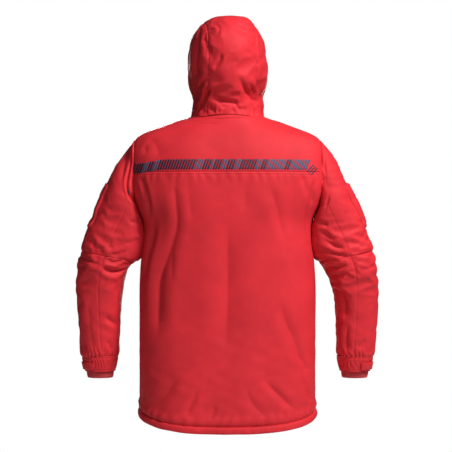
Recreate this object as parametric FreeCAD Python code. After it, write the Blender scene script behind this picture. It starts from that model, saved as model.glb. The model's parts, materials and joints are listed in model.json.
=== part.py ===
import FreeCAD, Part
import math
import os

# Insulated foul weather jacket, zipped up, hood raised, sleeves hanging, as it sits on a wearer.
# Millimetres. +X is the wearer's left, -Y the front, +Z up.
# The origin is the centre of the neck opening, at the height where the shoulders meet the neck.
# Every shell follows the same outer surfaces; an inset moves a surface inwards by that many mm.

VECTOR = FreeCAD.Vector
PI = math.pi
GAP = 0.3
RING_POINTS = 24

# Layers of the body and hood, from the outside in
SHELL = 3.0
INSULATION = 5.0
LINING = 1.5

# Torso: the front is a straight line down the zip, so the zip lies flat
FRONT_AT_ORIGIN = -107.2
FRONT_SLOPE = 0.0537
NECK_TOP = 12.0
SIDE_HALF = 221.0
ARMHOLE_X = 232.0
YOKE_SEAM_Z = -129.0
HEM_SIDE_Z = -740.0
HEM_TILT = math.degrees(math.atan(1.0 / 6.0))
HEM_BAND = 16.0
# rows: height, half width, back, squareness of the oval
TORSO_ROWS = [
    (-800.0, SIDE_HALF, 121.0, 2.6),
    (-500.0, SIDE_HALF, 118.0, 2.6),
    (-300.0, SIDE_HALF, 122.0, 2.6),
    (-230.0, SIDE_HALF, 125.0, 2.6),
    (-180.0, 246.0, 126.0, 2.6),
    (-120.0, 250.0, 124.0, 2.6),
    (-70.0, 244.0, 115.0, 2.5),
    (-46.0, 232.0, 107.0, 2.4),
    (-30.0, 209.0, 100.0, 2.3),
    (-20.0, 184.0, 95.0, 2.2),
    (-10.0, 156.0, 90.0, 2.1),
    (0.0, 130.0, 86.0, 2.0),
    (8.0, 104.0, 82.0, 2.0),
    (NECK_TOP, 97.0, 80.0, 2.0),
]
SLOPE_START = -70.0
SLOPE_FULL = -40.0
TAPE_LOW = -124.0
TAPE_HIGH = -99.0

# Collar stand inside the hood: height, half width, back
COLLAR_LOW = 12.5
COLLAR_HIGH = 60.0
COLLAR_ROWS = [(COLLAR_LOW, 88.0, 74.0), (26.0, 83.0, 70.0), (COLLAR_HIGH, 76.0, 64.0)]
COLLAR_SHELL = 2.5
LOOP_HALF = 28.0
LOOP_FOOT = 6.0
LOOP_THICK = 1.6
LOOP_STAND_OFF = 15.0
LOOP_Z = (18.0, 26.0)
LABEL_HALF = 26.0
LABEL_THICK = 0.8
LABEL_Z = (36.0, 54.0)

# Hood: height, half width, front, back
HOOD_LOW = 12.5
HOOD_ROWS = [
    (HOOD_LOW, 96.0, -118.0, 82.0),
    (40.0, 89.0, -130.0, 84.0),
    (60.0, 86.0, -140.0, 88.0),
    (85.0, 94.0, -148.0, 102.0),
    (120.0, 97.5, -150.0, 113.0),
    (160.0, 96.0, -150.0, 117.0),
    (190.0, 91.0, -148.0, 112.0),
    (215.0, 84.0, -145.0, 100.0),
    (235.0, 73.0, -140.0, 82.0),
    (250.0, 62.0, -133.0, 58.0),
    (262.0, 42.0, -120.0, 22.0),
]
HOOD_POWER = 2.2
HOOD_SHELL = 4.0
HOOD_LINING = 1.2
FACE_AT_ORIGIN = -82.0
FACE_SLOPE = -0.11
BINDING = 8.0
HOOD_STRIP_HALF = 60.0
HOOD_TURN = 8.0

# Left sleeve, from the armhole to the wrist. Each row is the outer and inner point of an oval
# section (x, z each), then its centre line in y and its half depth.
SLEEVE_START_X = 234.0
SLEEVE_ROWS = [
    (231.0, -40.0, 222.0, -210.0, 5.0, 61.0),
    (262.0, -82.0, 230.0, -226.0, 4.0, 66.0),
    (300.0, -156.0, 227.0, -262.0, 2.0, 68.0),
    (334.0, -228.0, 228.0, -300.0, 0.0, 66.0),
    (358.0, -290.0, 233.0, -335.0, -3.0, 63.0),
    (372.0, -352.0, 243.0, -362.0, -6.0, 61.0),
    (378.0, -415.0, 261.0, -415.0, -14.0, 57.0),
    (376.0, -480.0, 269.0, -480.0, -21.0, 53.0),
    (372.0, -545.0, 273.0, -545.0, -29.0, 49.0),
    (367.0, -600.0, 277.0, -600.0, -36.0, 45.0),
    (360.0, -625.0, 283.0, -625.0, -39.0, 41.0),
    (356.0, -660.0, 287.0, -660.0, -43.0, 37.0),
]
SLEEVE_SPLIT = 3
SLEEVE_SHELL = 2.5
SLEEVE_INSULATION = 4.0
SLEEVE_LINING = 1.2
ELBOW_Z = -345.0
ELBOW_HALF_GAP = 55.0
CUFF_TOP = -590.0
CUFF_BOTTOM = -625.0
INNER_CUFF_TOP = -600.0
INNER_CUFF_BOTTOM = -643.0
SLEEVE_POCKET_Z = (-265.0, -150.0)
SLEEVE_POCKET_Y = 42.0
SLEEVE_POCKET_RISE = 5.0
TAB_Z = (-620.0, -600.0)
TAB_ANGLES = (15.0, 75.0)
TAB_THICK = 2.7

# Pockets on the fronts: near x, far x, low z, high z, and how far the flap comes down
POCKET_RISE = 7.0
FLAP_BACK = 7.6
FLAP_FRONT = 10.6
FLAP_MARGIN = 3.0
POCKETS = {"chest": (60.0, 165.0, -300.0, -150.0, 55.0),
           "lower": (42.0, 165.0, -668.0, -480.0, 65.0)}

# Front zip. Its own frame: x across, height s up the zip line, rise out from the teeth's middle
ZIP_DEPTH = 4.0
ZIP_LOW = -700.0
ZIP_HIGH = 56.0
ZIP_PANEL_EDGE = 11.0
TAPE_IN = 3.9
TAPE_OUT = 14.0
TAPE_HALF_THICK = 0.4
TEETH_IN = 1.2
TEETH_ROOT = 2.6
TEETH_OUT = 3.7
TEETH_PITCH = 8.0
TEETH_THICK = 2.4
SLIDER_S = 44.0
SLIDER_HALF_WIDTH = 6.0
SLIDER_LENGTH = 16.0
PULL_LENGTH = 34.0
PULL_AXIS_RISE = 5.4
FLAP_HINGE_X = 35.0
STORM_FAR_X = -33.0
STORM_LOW = -690.0
STORM_HIGH = -12.0
STORM_BACK = 7.5
STORM_FRONT = 11.5
SNAP_X = -24.0
SNAP_COUNT = 6
SNAP_FIRST = -45.0
SNAP_STEP = -120.0


def front_y(z):
    """The front line of the torso and collar at a height."""
    return FRONT_AT_ORIGIN + FRONT_SLOPE * z


def block(low, high):
    """A box from its low corner to its high corner."""
    size = [high[i] - low[i] for i in range(3)]
    return Part.makeBox(size[0], size[1], size[2], VECTOR(*low))


def ring(points):
    """A smooth closed wire through points."""
    curve = Part.BSplineCurve()
    steps = [float(i) for i in range(len(points) + 1)]
    curve.interpolate(Points=points, PeriodicFlag=True, Parameters=steps)
    return Part.Wire(curve.toShape())


def loft(rings):
    """A solid skinned over rings, closed flat at both ends."""
    return Part.makeLoft(rings, True, True)


def oval(half, front, back, power, z):
    """A level oval: an ellipse at power 2, squarer above that."""
    middle = (front + back) / 2.0
    depth = (back - front) / 2.0
    points = []
    for i in range(RING_POINTS):
        angle = 2.0 * PI * i / RING_POINTS
        c, s = math.cos(angle), math.sin(angle)
        reach = (abs(c) ** power + abs(s) ** power) ** (-1.0 / power)
        points.append(VECTOR(half * reach * c, middle + depth * reach * s, z))
    return ring(points)


def interpolate(rows, z):
    """The values of a table of rows at a height, between the two rows around it."""
    for low, high in zip(rows, rows[1:]):
        if low[0] <= z <= high[0]:
            share = (z - low[0]) / (high[0] - low[0])
            return [a + (b - a) * share for a, b in zip(low[1:], high[1:])]
    raise ValueError("height outside the table: %s" % z)


def levels(rows, low, high):
    """The heights at which a loft from low to high takes a section."""
    return [low] + [row[0] for row in rows if low < row[0] < high] + [high]


def torso_solid(inset, low=TORSO_ROWS[0][0], high=NECK_TOP, open_top=False):
    """The torso's outer surface moved inwards, as a solid between two heights."""
    rings = []
    for z in levels(TORSO_ROWS, low, high):
        half, back, power = interpolate(TORSO_ROWS, z)
        slope = min(max((z - SLOPE_START) / (SLOPE_FULL - SLOPE_START), 0.0), 1.0)
        sideways = 1.0 if z >= 8.0 else 1.0 - 0.5 * slope
        half -= inset * sideways
        rings.append((half, front_y(z) + inset, back - inset, power, z - 0.8 * inset * slope))
    if open_top:
        half, front, back, power, z = rings[-1]
        rings.append((half, front, back, power, z + 40.0))
    return loft([oval(*values) for values in rings])


def torso_layer(outer, inner):
    """One layer of the torso, open at the neck, the hem and the armholes."""
    layer = torso_solid(outer).cut(torso_solid(inner, open_top=True))
    sides = block((-ARMHOLE_X, -300, -900), (ARMHOLE_X, 300, 100))
    return layer.common(sides)


def collar_solid(inset, low=COLLAR_LOW, high=COLLAR_HIGH):
    """The collar stand's outer surface moved inwards."""
    rings = []
    for z in levels(COLLAR_ROWS, COLLAR_LOW, COLLAR_HIGH):
        half, back = interpolate(COLLAR_ROWS, z)
        rings.append((half - inset, front_y(z) + inset, back - inset, 2.0, z))
    bottom, top = rings[0], rings[-1]
    if low < COLLAR_LOW:
        rings.insert(0, bottom[:4] + (low,))
    if high > COLLAR_HIGH:
        rings.append(top[:4] + (high,))
    return loft([oval(*values) for values in rings])


def hood_solid(inset, open_bottom=False):
    """The hood's outer surface moved inwards."""
    rings = []
    for z, half, front, back in HOOD_ROWS:
        rise = min(max((z - 200.0) / 50.0, 0.0), 1.0)
        rings.append((half - inset, front + inset, back - inset, HOOD_POWER, z - inset * rise))
    if open_bottom:
        rings.insert(0, rings[0][:4] + (-20.0,))
    return loft([oval(*values) for values in rings])


def sleeve_ring(row, inset):
    """One oval section of the sleeve, in the plane of its outer and inner point."""
    outer_x, outer_z, inner_x, inner_z, middle_y, depth = row
    across = VECTOR(outer_x - inner_x, 0, outer_z - inner_z)
    half = across.Length / 2.0
    across.normalize()
    centre = VECTOR((outer_x + inner_x) / 2.0, middle_y, (outer_z + inner_z) / 2.0)
    points = []
    for i in range(RING_POINTS):
        angle = 2.0 * PI * i / RING_POINTS
        along = across * ((half - inset) * math.cos(angle))
        aside = VECTOR(0, (depth - inset) * math.sin(angle), 0)
        points.append(centre + along + aside)
    return ring(points)


def sleeve_solid(inset):
    """The left sleeve's outer surface moved inwards, skinned in two runs round the shoulder."""
    rings = [sleeve_ring(row, inset) for row in SLEEVE_ROWS]
    return loft(rings[:SLEEVE_SPLIT + 1]).fuse(loft(rings[SLEEVE_SPLIT:]))


def sleeve_layer(outer, inner):
    """One layer of the left sleeve, open at the armhole and below the wrist."""
    layer = sleeve_solid(outer).cut(sleeve_solid(inner))
    return layer.common(block((SLEEVE_START_X, -300, -900), (500, 300, 100)))


def between(shape, low, high):
    """The part of a shape between two heights."""
    return shape.common(block((-500, -400, low), (500, 400, high)))


def half_space_y(rise, side):
    """A large block in front (-1) or behind (+1) a plane through y = rise at z = 0."""
    if side < 0:
        return block((-500, -700, -900), (500, rise, 400))
    return block((-500, rise, -900), (500, 700, 400))


def hem_slab(bottom, top):
    """A slab across the torso between two distances above the tilted hem line."""
    slab = block((-400, -400, bottom), (400, 400, top))
    slab.rotate(VECTOR(0, 0, 0), VECTOR(1, 0, 0), -HEM_TILT)
    slab.translate(VECTOR(0, 0, HEM_SIDE_Z))
    return slab


def front_slot(half):
    """The block that clears a slot down the middle of the front."""
    return block((-half, -300, -900), (half, 0, 200))


def on_zip(shape):
    """Put a shape from the zip's own upright frame on to the front line."""
    shape.rotate(VECTOR(0, 0, 0), VECTOR(1, 0, 0), -math.degrees(math.atan(FRONT_SLOPE)))
    shape.translate(VECTOR(0, FRONT_AT_ORIGIN + ZIP_DEPTH, 0))
    return shape


def zip_block(x_low, x_high, rise_low, rise_high, s_low, s_high):
    """A box in the zip's frame: across, out from the teeth, and up the zip."""
    return block((x_low, -rise_high, s_low), (x_high, -rise_low, s_high))


def tape_recess():
    """The room that the panels and the collar leave for the zip tapes behind their edges."""
    half = TAPE_OUT + GAP
    return on_zip(zip_block(-half, half, -4.0, TAPE_HALF_THICK + GAP, ZIP_LOW - 20.0, ZIP_HIGH + 10.0))


def mirrored(shape):
    """The wearer's right-hand copy of a left-hand shape."""
    return shape.mirror(VECTOR(0, 0, 0), VECTOR(1, 0, 0))


PARTS = {}


def add(name, shape):
    """Keep a finished sub-part under its node name."""
    PARTS[name] = shape


def add_pair(name, shape):
    """Keep a left-hand sub-part and its mirrored right-hand twin."""
    add(name + "_left", shape)
    add(name + "_right", mirrored(shape))


def make_body_panels():
    shell = torso_layer(0.0, SHELL)
    shell = shell.cut(hem_slab(-200, HEM_BAND + GAP)).cut(front_slot(ZIP_PANEL_EDGE))
    shell = shell.cut(tape_recess())
    back = shell.common(half_space_y(GAP / 2, 1))
    front = shell.common(half_space_y(-GAP / 2, -1))
    add("back_yoke", between(back, YOKE_SEAM_Z + GAP / 2, 100))
    add("back_panel", between(back, -900, YOKE_SEAM_Z - GAP / 2))
    add("front_panel_left", front.common(block((0, -300, -900), (400, 100, 100))))
    add("front_panel_right", front.common(block((-400, -300, -900), (0, 100, 100))))


def make_body_inner():
    above_hem = hem_slab(-200, HEM_BAND + 1.0)
    fill = torso_layer(SHELL + GAP, SHELL + GAP + INSULATION)
    add("body_insulation", fill.cut(above_hem).cut(front_slot(16.0)))
    lining_out = SHELL + INSULATION + 2 * GAP
    lining = torso_layer(lining_out, lining_out + LINING)
    add("body_lining", lining.cut(above_hem).cut(front_slot(10.0)))


def make_hem():
    band = torso_solid(-2.0, -800.0, -650.0).cut(torso_solid(4.0, -800.0, -650.0))
    add("hem_band", band.common(hem_slab(0, HEM_BAND)).cut(front_slot(ZIP_PANEL_EDGE)))


def make_tape():
    tape = torso_solid(-1.2, TAPE_LOW, TAPE_HIGH).cut(torso_solid(-0.2, TAPE_LOW, TAPE_HIGH))
    add("back_reflective_tape", tape.common(block((-230, 30, -200), (230, 300, 0))))


def make_collar():
    outer = collar_solid(0.0).cut(collar_solid(COLLAR_SHELL, -10.0, 90.0))
    add("collar_outer", outer.cut(front_slot(ZIP_PANEL_EDGE)).cut(tape_recess()))
    start = COLLAR_SHELL + GAP
    lining = collar_solid(start).cut(collar_solid(start + LINING, -10.0, 90.0))
    add("collar_lining", lining.cut(front_slot(TAPE_OUT + 1.0)))


def make_hanger():
    """A strap loop and a blank label inside the back of the collar."""
    wall = COLLAR_SHELL + GAP + LINING
    back = interpolate(COLLAR_ROWS, LOOP_Z[0])[1]
    bar_y = back - wall - LOOP_STAND_OFF
    loop = block((-LOOP_HALF, bar_y, LOOP_Z[0]), (LOOP_HALF, bar_y + LOOP_THICK, LOOP_Z[1]))
    for side in (-1, 1):
        x_in, x_out = sorted((side * (LOOP_HALF - LOOP_FOOT), side * LOOP_HALF))
        loop = loop.fuse(block((x_in, bar_y, LOOP_Z[0]), (x_out, back, LOOP_Z[1])))
    add("hanger_loop", loop.removeSplitter().common(collar_solid(wall + 0.2)))
    label = collar_solid(wall + GAP).cut(collar_solid(wall + GAP + LABEL_THICK, -10.0, 90.0))
    add("neck_label", label.common(block((-LABEL_HALF, 0, LABEL_Z[0]), (LABEL_HALF, 100, LABEL_Z[1]))))


def make_hood():
    face = block((-400, -600, -400), (400, 0, 500))
    face.rotate(VECTOR(0, 0, 0), VECTOR(1, 0, 0), math.degrees(math.atan(-FACE_SLOPE)))
    face.translate(VECTOR(0, FACE_AT_ORIGIN, 0))
    edge = face.copy()
    edge.translate(VECTOR(0, BINDING, 0))
    gap = face.copy()
    gap.translate(VECTOR(0, BINDING + GAP, 0))
    shell = hood_solid(0.0).cut(hood_solid(HOOD_SHELL, open_bottom=True)).cut(face)
    add("hood_edge_binding", shell.common(edge))
    panels = shell.cut(gap)
    strip = block((-HOOD_STRIP_HALF, -400, -50), (HOOD_STRIP_HALF, 400, 400))
    wide = block((-HOOD_STRIP_HALF - GAP, -400, -50), (HOOD_STRIP_HALF + GAP, 400, 400))
    for tool in (strip, wide):
        tool.rotate(VECTOR(0, 0, 0), VECTOR(0, 0, 1), HOOD_TURN)
    add("hood_centre_panel", panels.common(strip))
    sides = panels.cut(wide)
    add("hood_side_left", sides.common(block((0, -400, -50), (400, 400, 400))))
    add("hood_side_right", sides.common(block((-400, -400, -50), (0, 400, 400))))
    start = HOOD_SHELL + GAP
    lining = hood_solid(start).cut(hood_solid(start + HOOD_LINING, open_bottom=True))
    add("hood_lining", lining.cut(face))


def make_sleeves():
    upper_end = ELBOW_Z + ELBOW_HALF_GAP
    forearm_start = ELBOW_Z - ELBOW_HALF_GAP
    fill_out = SLEEVE_SHELL + GAP
    lining_out = fill_out + SLEEVE_INSULATION + GAP
    wall = lining_out + SLEEVE_LINING
    shell = sleeve_layer(0.0, SLEEVE_SHELL)
    fill = sleeve_layer(fill_out, fill_out + SLEEVE_INSULATION)
    lining = sleeve_layer(lining_out, wall)
    layers = (("", shell), ("_insulation", fill), ("_lining", lining))
    for suffix, layer in layers:
        add_pair("upper_sleeve" + suffix, between(layer, upper_end + GAP, 0))
        add_pair("forearm" + (suffix or "_sleeve"), between(layer, CUFF_TOP + GAP, forearm_start - GAP))
    elbow = sleeve_layer(0.0, wall)
    add_pair("elbow_section", between(elbow, forearm_start, upper_end))
    cuff = sleeve_layer(-1.0, 3.0)
    add_pair("cuff_band", between(cuff, CUFF_BOTTOM, CUFF_TOP))
    inner = sleeve_layer(4.5, 7.0)
    add_pair("inner_cuff", between(inner, INNER_CUFF_BOTTOM, INNER_CUFF_TOP + 9.0))
    pocket = sleeve_solid(-SLEEVE_POCKET_RISE).cut(sleeve_solid(-GAP))
    window = block((286, -SLEEVE_POCKET_Y, SLEEVE_POCKET_Z[0]), (420, SLEEVE_POCKET_Y, SLEEVE_POCKET_Z[1]))
    add_pair("sleeve_pocket", pocket.common(window))


def make_cuff_tabs():
    """A strap end that lies round the back outer quarter of each cuff."""
    tab = sleeve_solid(-1.0 - GAP - TAB_THICK).cut(sleeve_solid(-1.0 - GAP))
    middle = VECTOR(322.0, -37.0, 0)
    reach = 120.0
    corners = [middle]
    for angle in (TAB_ANGLES[0], sum(TAB_ANGLES) / 2, TAB_ANGLES[1]):
        a = math.radians(angle)
        corners.append(middle + VECTOR(reach * math.cos(a), reach * math.sin(a), 0))
    wedge = Part.Face(Part.makePolygon(corners + [middle])).extrude(VECTOR(0, 0, TAB_Z[1] - TAB_Z[0]))
    wedge.translate(VECTOR(0, 0, TAB_Z[0]))
    add_pair("cuff_tab", tab.common(wedge))


def make_pockets():
    for name, (near, far, low, high, flap_drop) in POCKETS.items():
        body = torso_solid(-POCKET_RISE, low, high).cut(torso_solid(-GAP, low, high))
        add_pair(name + "_pocket", body.common(block((near, -300, -900), (far, 0, 0))))
        flap_low, flap_high = high - flap_drop, high + FLAP_MARGIN
        flap = torso_solid(-FLAP_FRONT, flap_low, flap_high)
        flap = flap.cut(torso_solid(-FLAP_BACK, flap_low, flap_high))
        window = block((near - FLAP_MARGIN, -300, -900), (far + FLAP_MARGIN, 0, 0))
        add_pair(name + "_flap", flap.common(window))


def make_zip():
    half = TEETH_THICK / 2
    tapes = []
    combs = []
    for side in (-1, 1):
        x_in, x_out = sorted((side * TAPE_IN, side * TAPE_OUT))
        tapes.append(on_zip(zip_block(x_in, x_out, -TAPE_HALF_THICK, TAPE_HALF_THICK, ZIP_LOW, ZIP_HIGH)))
        outline = [VECTOR(side * TEETH_OUT, -half, ZIP_LOW), VECTOR(side * TEETH_OUT, -half, ZIP_HIGH)]
        count = int((ZIP_HIGH - ZIP_LOW) / TEETH_PITCH)
        for i in range(count, 0, -1):
            s = ZIP_LOW + i * TEETH_PITCH
            outline.append(VECTOR(side * TEETH_ROOT, -half, s))
            outline.append(VECTOR(side * TEETH_IN, -half, s - 1.0))
            outline.append(VECTOR(side * TEETH_IN, -half, s - 4.0))
            outline.append(VECTOR(side * TEETH_ROOT, -half, s - 5.0))
        outline.append(VECTOR(side * TEETH_ROOT, -half, ZIP_LOW))
        comb = Part.Face(Part.makePolygon(outline + [outline[0]])).extrude(VECTOR(0, TEETH_THICK, 0))
        combs.append(on_zip(comb))
    add("zip_tapes", Part.makeCompound(tapes))
    add("zip_teeth", Part.makeCompound(combs))
    stops = []
    for side in (-1, 1):
        x_in, x_out = sorted((side * 1.4, side * 5.0))
        stops.append(on_zip(zip_block(x_in, x_out, -1.6, 1.6, ZIP_HIGH + 0.2, ZIP_HIGH + 3.2)))
    stops.append(on_zip(zip_block(-5.5, 5.5, -2.0, 2.0, ZIP_LOW - 12.0, ZIP_LOW - 0.2)))
    add("zip_stops", Part.makeCompound(stops))


def make_slider():
    low, high = SLIDER_S - SLIDER_LENGTH / 2, SLIDER_S + SLIDER_LENGTH / 2
    wide = SLIDER_HALF_WIDTH
    body = zip_block(-wide, wide, 1.7, 3.7, low, high)
    body = body.fuse(zip_block(-wide, wide, -3.7, -1.7, low, high))
    body = body.fuse(zip_block(-0.8, 0.8, -1.8, 1.8, high - 7.0, high))
    crown = zip_block(-1.2, 1.2, 3.6, 7.0, SLIDER_S - 4.0, SLIDER_S + 4.0)
    bore = Part.makeCylinder(1.0, 4.0, VECTOR(-2.0, -PULL_AXIS_RISE, SLIDER_S), VECTOR(1, 0, 0))
    add("zip_slider", on_zip(body.fuse(crown).cut(bore).removeSplitter()))
    bar = Part.makeCylinder(0.8, 6.0, VECTOR(-3.0, -PULL_AXIS_RISE, SLIDER_S), VECTOR(1, 0, 0))
    rise_low, rise_high = PULL_AXIS_RISE - 0.8, PULL_AXIS_RISE + 0.8
    pull = bar
    for side in (-1, 1):
        x_in, x_out = sorted((side * 1.8, side * 3.2))
        pull = pull.fuse(zip_block(x_in, x_out, rise_low, rise_high, SLIDER_S - 9.0, SLIDER_S + 0.8))
    grip = zip_block(-5.0, 5.0, rise_low, rise_high, SLIDER_S - PULL_LENGTH, SLIDER_S - 8.0)
    add("zip_pull", on_zip(pull.fuse(grip).removeSplitter()))


def make_storm_flap():
    add("storm_flap", on_zip(zip_block(STORM_FAR_X, FLAP_HINGE_X, STORM_BACK, STORM_FRONT,
                                       STORM_LOW, STORM_HIGH)))
    studs = []
    caps = []
    for i in range(SNAP_COUNT):
        s = SNAP_FIRST + i * SNAP_STEP
        out = VECTOR(0, -1, 0)
        studs.append(on_zip(Part.makeCylinder(5.0, 2.6, VECTOR(SNAP_X, -4.3, s), out)))
        caps.append(on_zip(Part.makeCylinder(6.5, 1.6, VECTOR(SNAP_X, -STORM_FRONT - 0.1, s), out)))
    add("snap_studs", Part.makeCompound(studs))
    add("storm_flap_snaps", Part.makeCompound(caps))


def export():
    os.makedirs("parts", exist_ok=True)
    for name, shape in sorted(PARTS.items()):
        solids = shape.Solids
        volume = sum(solid.Volume for solid in solids)
        valid = all(solid.isValid() for solid in solids)
        print("%-26s solids %d  volume %.0f mm3  valid %s" % (name, len(solids), volume, valid))
        Part.makeCompound(solids).exportStep(os.path.join("parts", name + ".step"))


make_body_panels()
make_body_inner()
make_hem()
make_tape()
make_collar()
make_hanger()
make_hood()
make_sleeves()
make_cuff_tabs()
make_pockets()
make_zip()
make_slider()
make_storm_flap()
export()
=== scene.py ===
import json
import math

import bmesh
import bpy
import numpy as np
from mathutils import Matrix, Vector
from mathutils.bvhtree import BVHTree

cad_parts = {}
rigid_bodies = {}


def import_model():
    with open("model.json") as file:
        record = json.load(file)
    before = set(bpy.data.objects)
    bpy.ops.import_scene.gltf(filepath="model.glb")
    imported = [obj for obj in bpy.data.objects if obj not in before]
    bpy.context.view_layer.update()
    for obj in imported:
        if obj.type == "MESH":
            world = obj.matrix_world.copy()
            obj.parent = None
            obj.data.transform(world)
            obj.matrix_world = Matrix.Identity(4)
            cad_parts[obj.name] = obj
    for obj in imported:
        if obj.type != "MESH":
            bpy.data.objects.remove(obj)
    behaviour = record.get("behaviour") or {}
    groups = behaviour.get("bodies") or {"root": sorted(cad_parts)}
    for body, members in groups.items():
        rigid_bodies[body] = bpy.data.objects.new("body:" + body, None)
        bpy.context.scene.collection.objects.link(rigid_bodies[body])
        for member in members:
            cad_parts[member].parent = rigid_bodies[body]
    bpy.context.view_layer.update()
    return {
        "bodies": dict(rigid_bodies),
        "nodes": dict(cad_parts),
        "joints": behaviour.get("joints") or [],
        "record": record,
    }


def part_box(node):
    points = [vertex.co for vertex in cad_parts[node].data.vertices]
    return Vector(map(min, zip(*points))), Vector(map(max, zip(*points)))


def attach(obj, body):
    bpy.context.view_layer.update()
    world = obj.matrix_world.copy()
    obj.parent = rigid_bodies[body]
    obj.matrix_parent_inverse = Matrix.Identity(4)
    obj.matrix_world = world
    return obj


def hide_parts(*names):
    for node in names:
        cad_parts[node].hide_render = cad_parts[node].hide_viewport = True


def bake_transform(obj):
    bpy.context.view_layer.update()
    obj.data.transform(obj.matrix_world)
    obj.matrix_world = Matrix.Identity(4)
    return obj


# Insulated foul weather jacket: shells, padding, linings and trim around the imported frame. Metres.

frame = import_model()
PI = math.pi

# ------------------------------------------------------------------ sizes

ARMHOLE_X = 0.232
YOKE_SEAM_Z = -0.129
FRONT_AT_ORIGIN = -0.1072
FRONT_SLOPE = 0.0537
NECK_Z = 0.012
HEM_BAND = 0.016
HEM_ROOM = 0.20
PANEL_EDGE = 0.011
# rows: height, half width, back, squareness of the oval
TORSO_ROWS = [
    (-0.800, 0.221, 0.121, 2.6), (-0.650, 0.221, 0.120, 2.6), (-0.500, 0.221, 0.118, 2.6),
    (-0.400, 0.220, 0.119, 2.6), (-0.345, 0.216, 0.121, 2.6), (-0.300, 0.210, 0.122, 2.6),
    (-0.245, 0.212, 0.124, 2.6), (-0.205, 0.232, 0.126, 2.6), (-0.170, 0.247, 0.126, 2.6),
    (-0.120, 0.250, 0.124, 2.6), (-0.070, 0.244, 0.115, 2.5), (-0.046, 0.232, 0.107, 2.4),
    (-0.030, 0.209, 0.100, 2.3), (-0.020, 0.184, 0.095, 2.2), (-0.010, 0.156, 0.090, 2.1),
    (0.000, 0.130, 0.086, 2.0), (0.008, 0.104, 0.082, 2.0), (NECK_Z, 0.095, 0.080, 2.0),
]
# rows: outer x, outer z, inner x, inner z, centre line in y, half depth
SLEEVE_ROWS = [
    (0.232, -0.046, 0.232, -0.205, 0.005, 0.061), (0.262, -0.082, 0.222, -0.226, 0.004, 0.066),
    (0.300, -0.156, 0.206, -0.262, 0.002, 0.068), (0.334, -0.228, 0.203, -0.300, 0.000, 0.066),
    (0.358, -0.290, 0.216, -0.337, -0.003, 0.063), (0.372, -0.352, 0.240, -0.362, -0.006, 0.061),
    (0.378, -0.415, 0.261, -0.415, -0.014, 0.057), (0.376, -0.480, 0.269, -0.480, -0.021, 0.053),
    (0.372, -0.545, 0.273, -0.545, -0.029, 0.049), (0.368, -0.590, 0.276, -0.590, -0.035, 0.046),
    (0.361, -0.625, 0.283, -0.625, -0.039, 0.041), (0.356, -0.660, 0.287, -0.660, -0.043, 0.037),
]
# rows: height, half width, front, back
HOOD_ROWS = [
    (0.0125, 0.099, -0.118, 0.082), (0.024, 0.0925, -0.123, 0.080), (0.040, 0.0895, -0.130, 0.082),
    (0.060, 0.086, -0.140, 0.088),
    (0.085, 0.094, -0.148, 0.102), (0.120, 0.0975, -0.150, 0.113), (0.160, 0.096, -0.150, 0.117),
    (0.190, 0.091, -0.148, 0.112), (0.215, 0.084, -0.145, 0.100), (0.235, 0.073, -0.140, 0.082),
    (0.250, 0.062, -0.133, 0.058), (0.260, 0.045, -0.120, 0.022), (0.2635, 0.022, -0.085, -0.020),
    (0.264, 0.001, -0.053, -0.051),
]
HOOD_POWER = 2.2
NECK_DIP = 0.010
HOOD_STRIP_HALF = 0.060
HOOD_TURN = math.radians(8.0)
FACE_AT_ORIGIN = -0.082
FACE_SLOPE = -0.11
COLLAR_ROWS = [(0.0125, 0.088, 0.074), (0.026, 0.083, 0.070), (0.060, 0.076, 0.064)]
SHELL_THICK = 0.0012
ZIP_DEPTH = 0.004


def front_y(z):
    """The front line of the torso and collar at a height."""
    return FRONT_AT_ORIGIN + FRONT_SLOPE * z


def hem_z(y):
    """The height of the hem: level at the sides, lower behind, a little higher in front."""
    behind = np.clip(y / 0.120, 0.0, None)
    ahead = np.clip(-y / 0.120, 0.0, None)
    return -0.730 - 0.030 * behind ** 1.5 + 0.010 * ahead ** 1.5


# ------------------------------------------------------------------ small maths

def smooth(t):
    """An ease from 0 to 1."""
    t = np.clip(t, 0.0, 1.0)
    return t * t * (3.0 - 2.0 * t)


def bell(distance, width):
    return np.exp(-(distance / width) ** 2)


def hermite(keys, values, at):
    """The smooth curve through rows of values at keys, read at any places."""
    keys = np.asarray(keys, float)
    values = np.asarray(values, float)
    at = np.asarray(at, float)
    slopes = np.gradient(values, keys, axis=0)
    i = np.clip(np.searchsorted(keys, at, side="right") - 1, 0, len(keys) - 2)
    h = (keys[i + 1] - keys[i])[:, None]
    t = ((at - keys[i])[:, None]) / h
    low, high = values[i], values[i + 1]
    return ((2 * t ** 3 - 3 * t ** 2 + 1) * low + (t ** 3 - 2 * t ** 2 + t) * h * slopes[i]
            + (3 * t ** 2 - 2 * t ** 3) * high + (t ** 3 - t ** 2) * h * slopes[i + 1])


def lengths(points):
    """The distance run along a line of points, at each of them."""
    steps = np.linalg.norm(np.diff(points, axis=0), axis=1)
    return np.concatenate([[0.0], np.cumsum(steps)])


def steps_between(low, high, pitch):
    return np.linspace(low, high, max(int(round((high - low) / pitch)), 1) + 1)


def ripples(points, size, seed, count=14):
    """Soft irregular waves of about that size, the same on every run."""
    source = np.random.default_rng(seed)
    total = np.zeros(points.shape[:-1])
    for _ in range(count):
        direction = source.normal(size=3)
        direction /= np.linalg.norm(direction)
        phase = source.uniform(0.0, 2 * PI)
        wave = size * source.uniform(0.7, 1.5)
        total += np.sin(points @ direction * (2 * PI / wave) + phase)
    return total / math.sqrt(count)


def superellipse(angle, power):
    """The unit superellipse at an angle, as its two coordinates."""
    c, s = np.cos(angle), np.sin(angle)
    reach = (np.abs(c) ** power + np.abs(s) ** power) ** (-1.0 / power)
    return c * reach, s * reach


# ------------------------------------------------------------------ skins

# below 2, the bottom of a fold is a crease and not a round channel
FOLD_EDGE = 1.15


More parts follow.
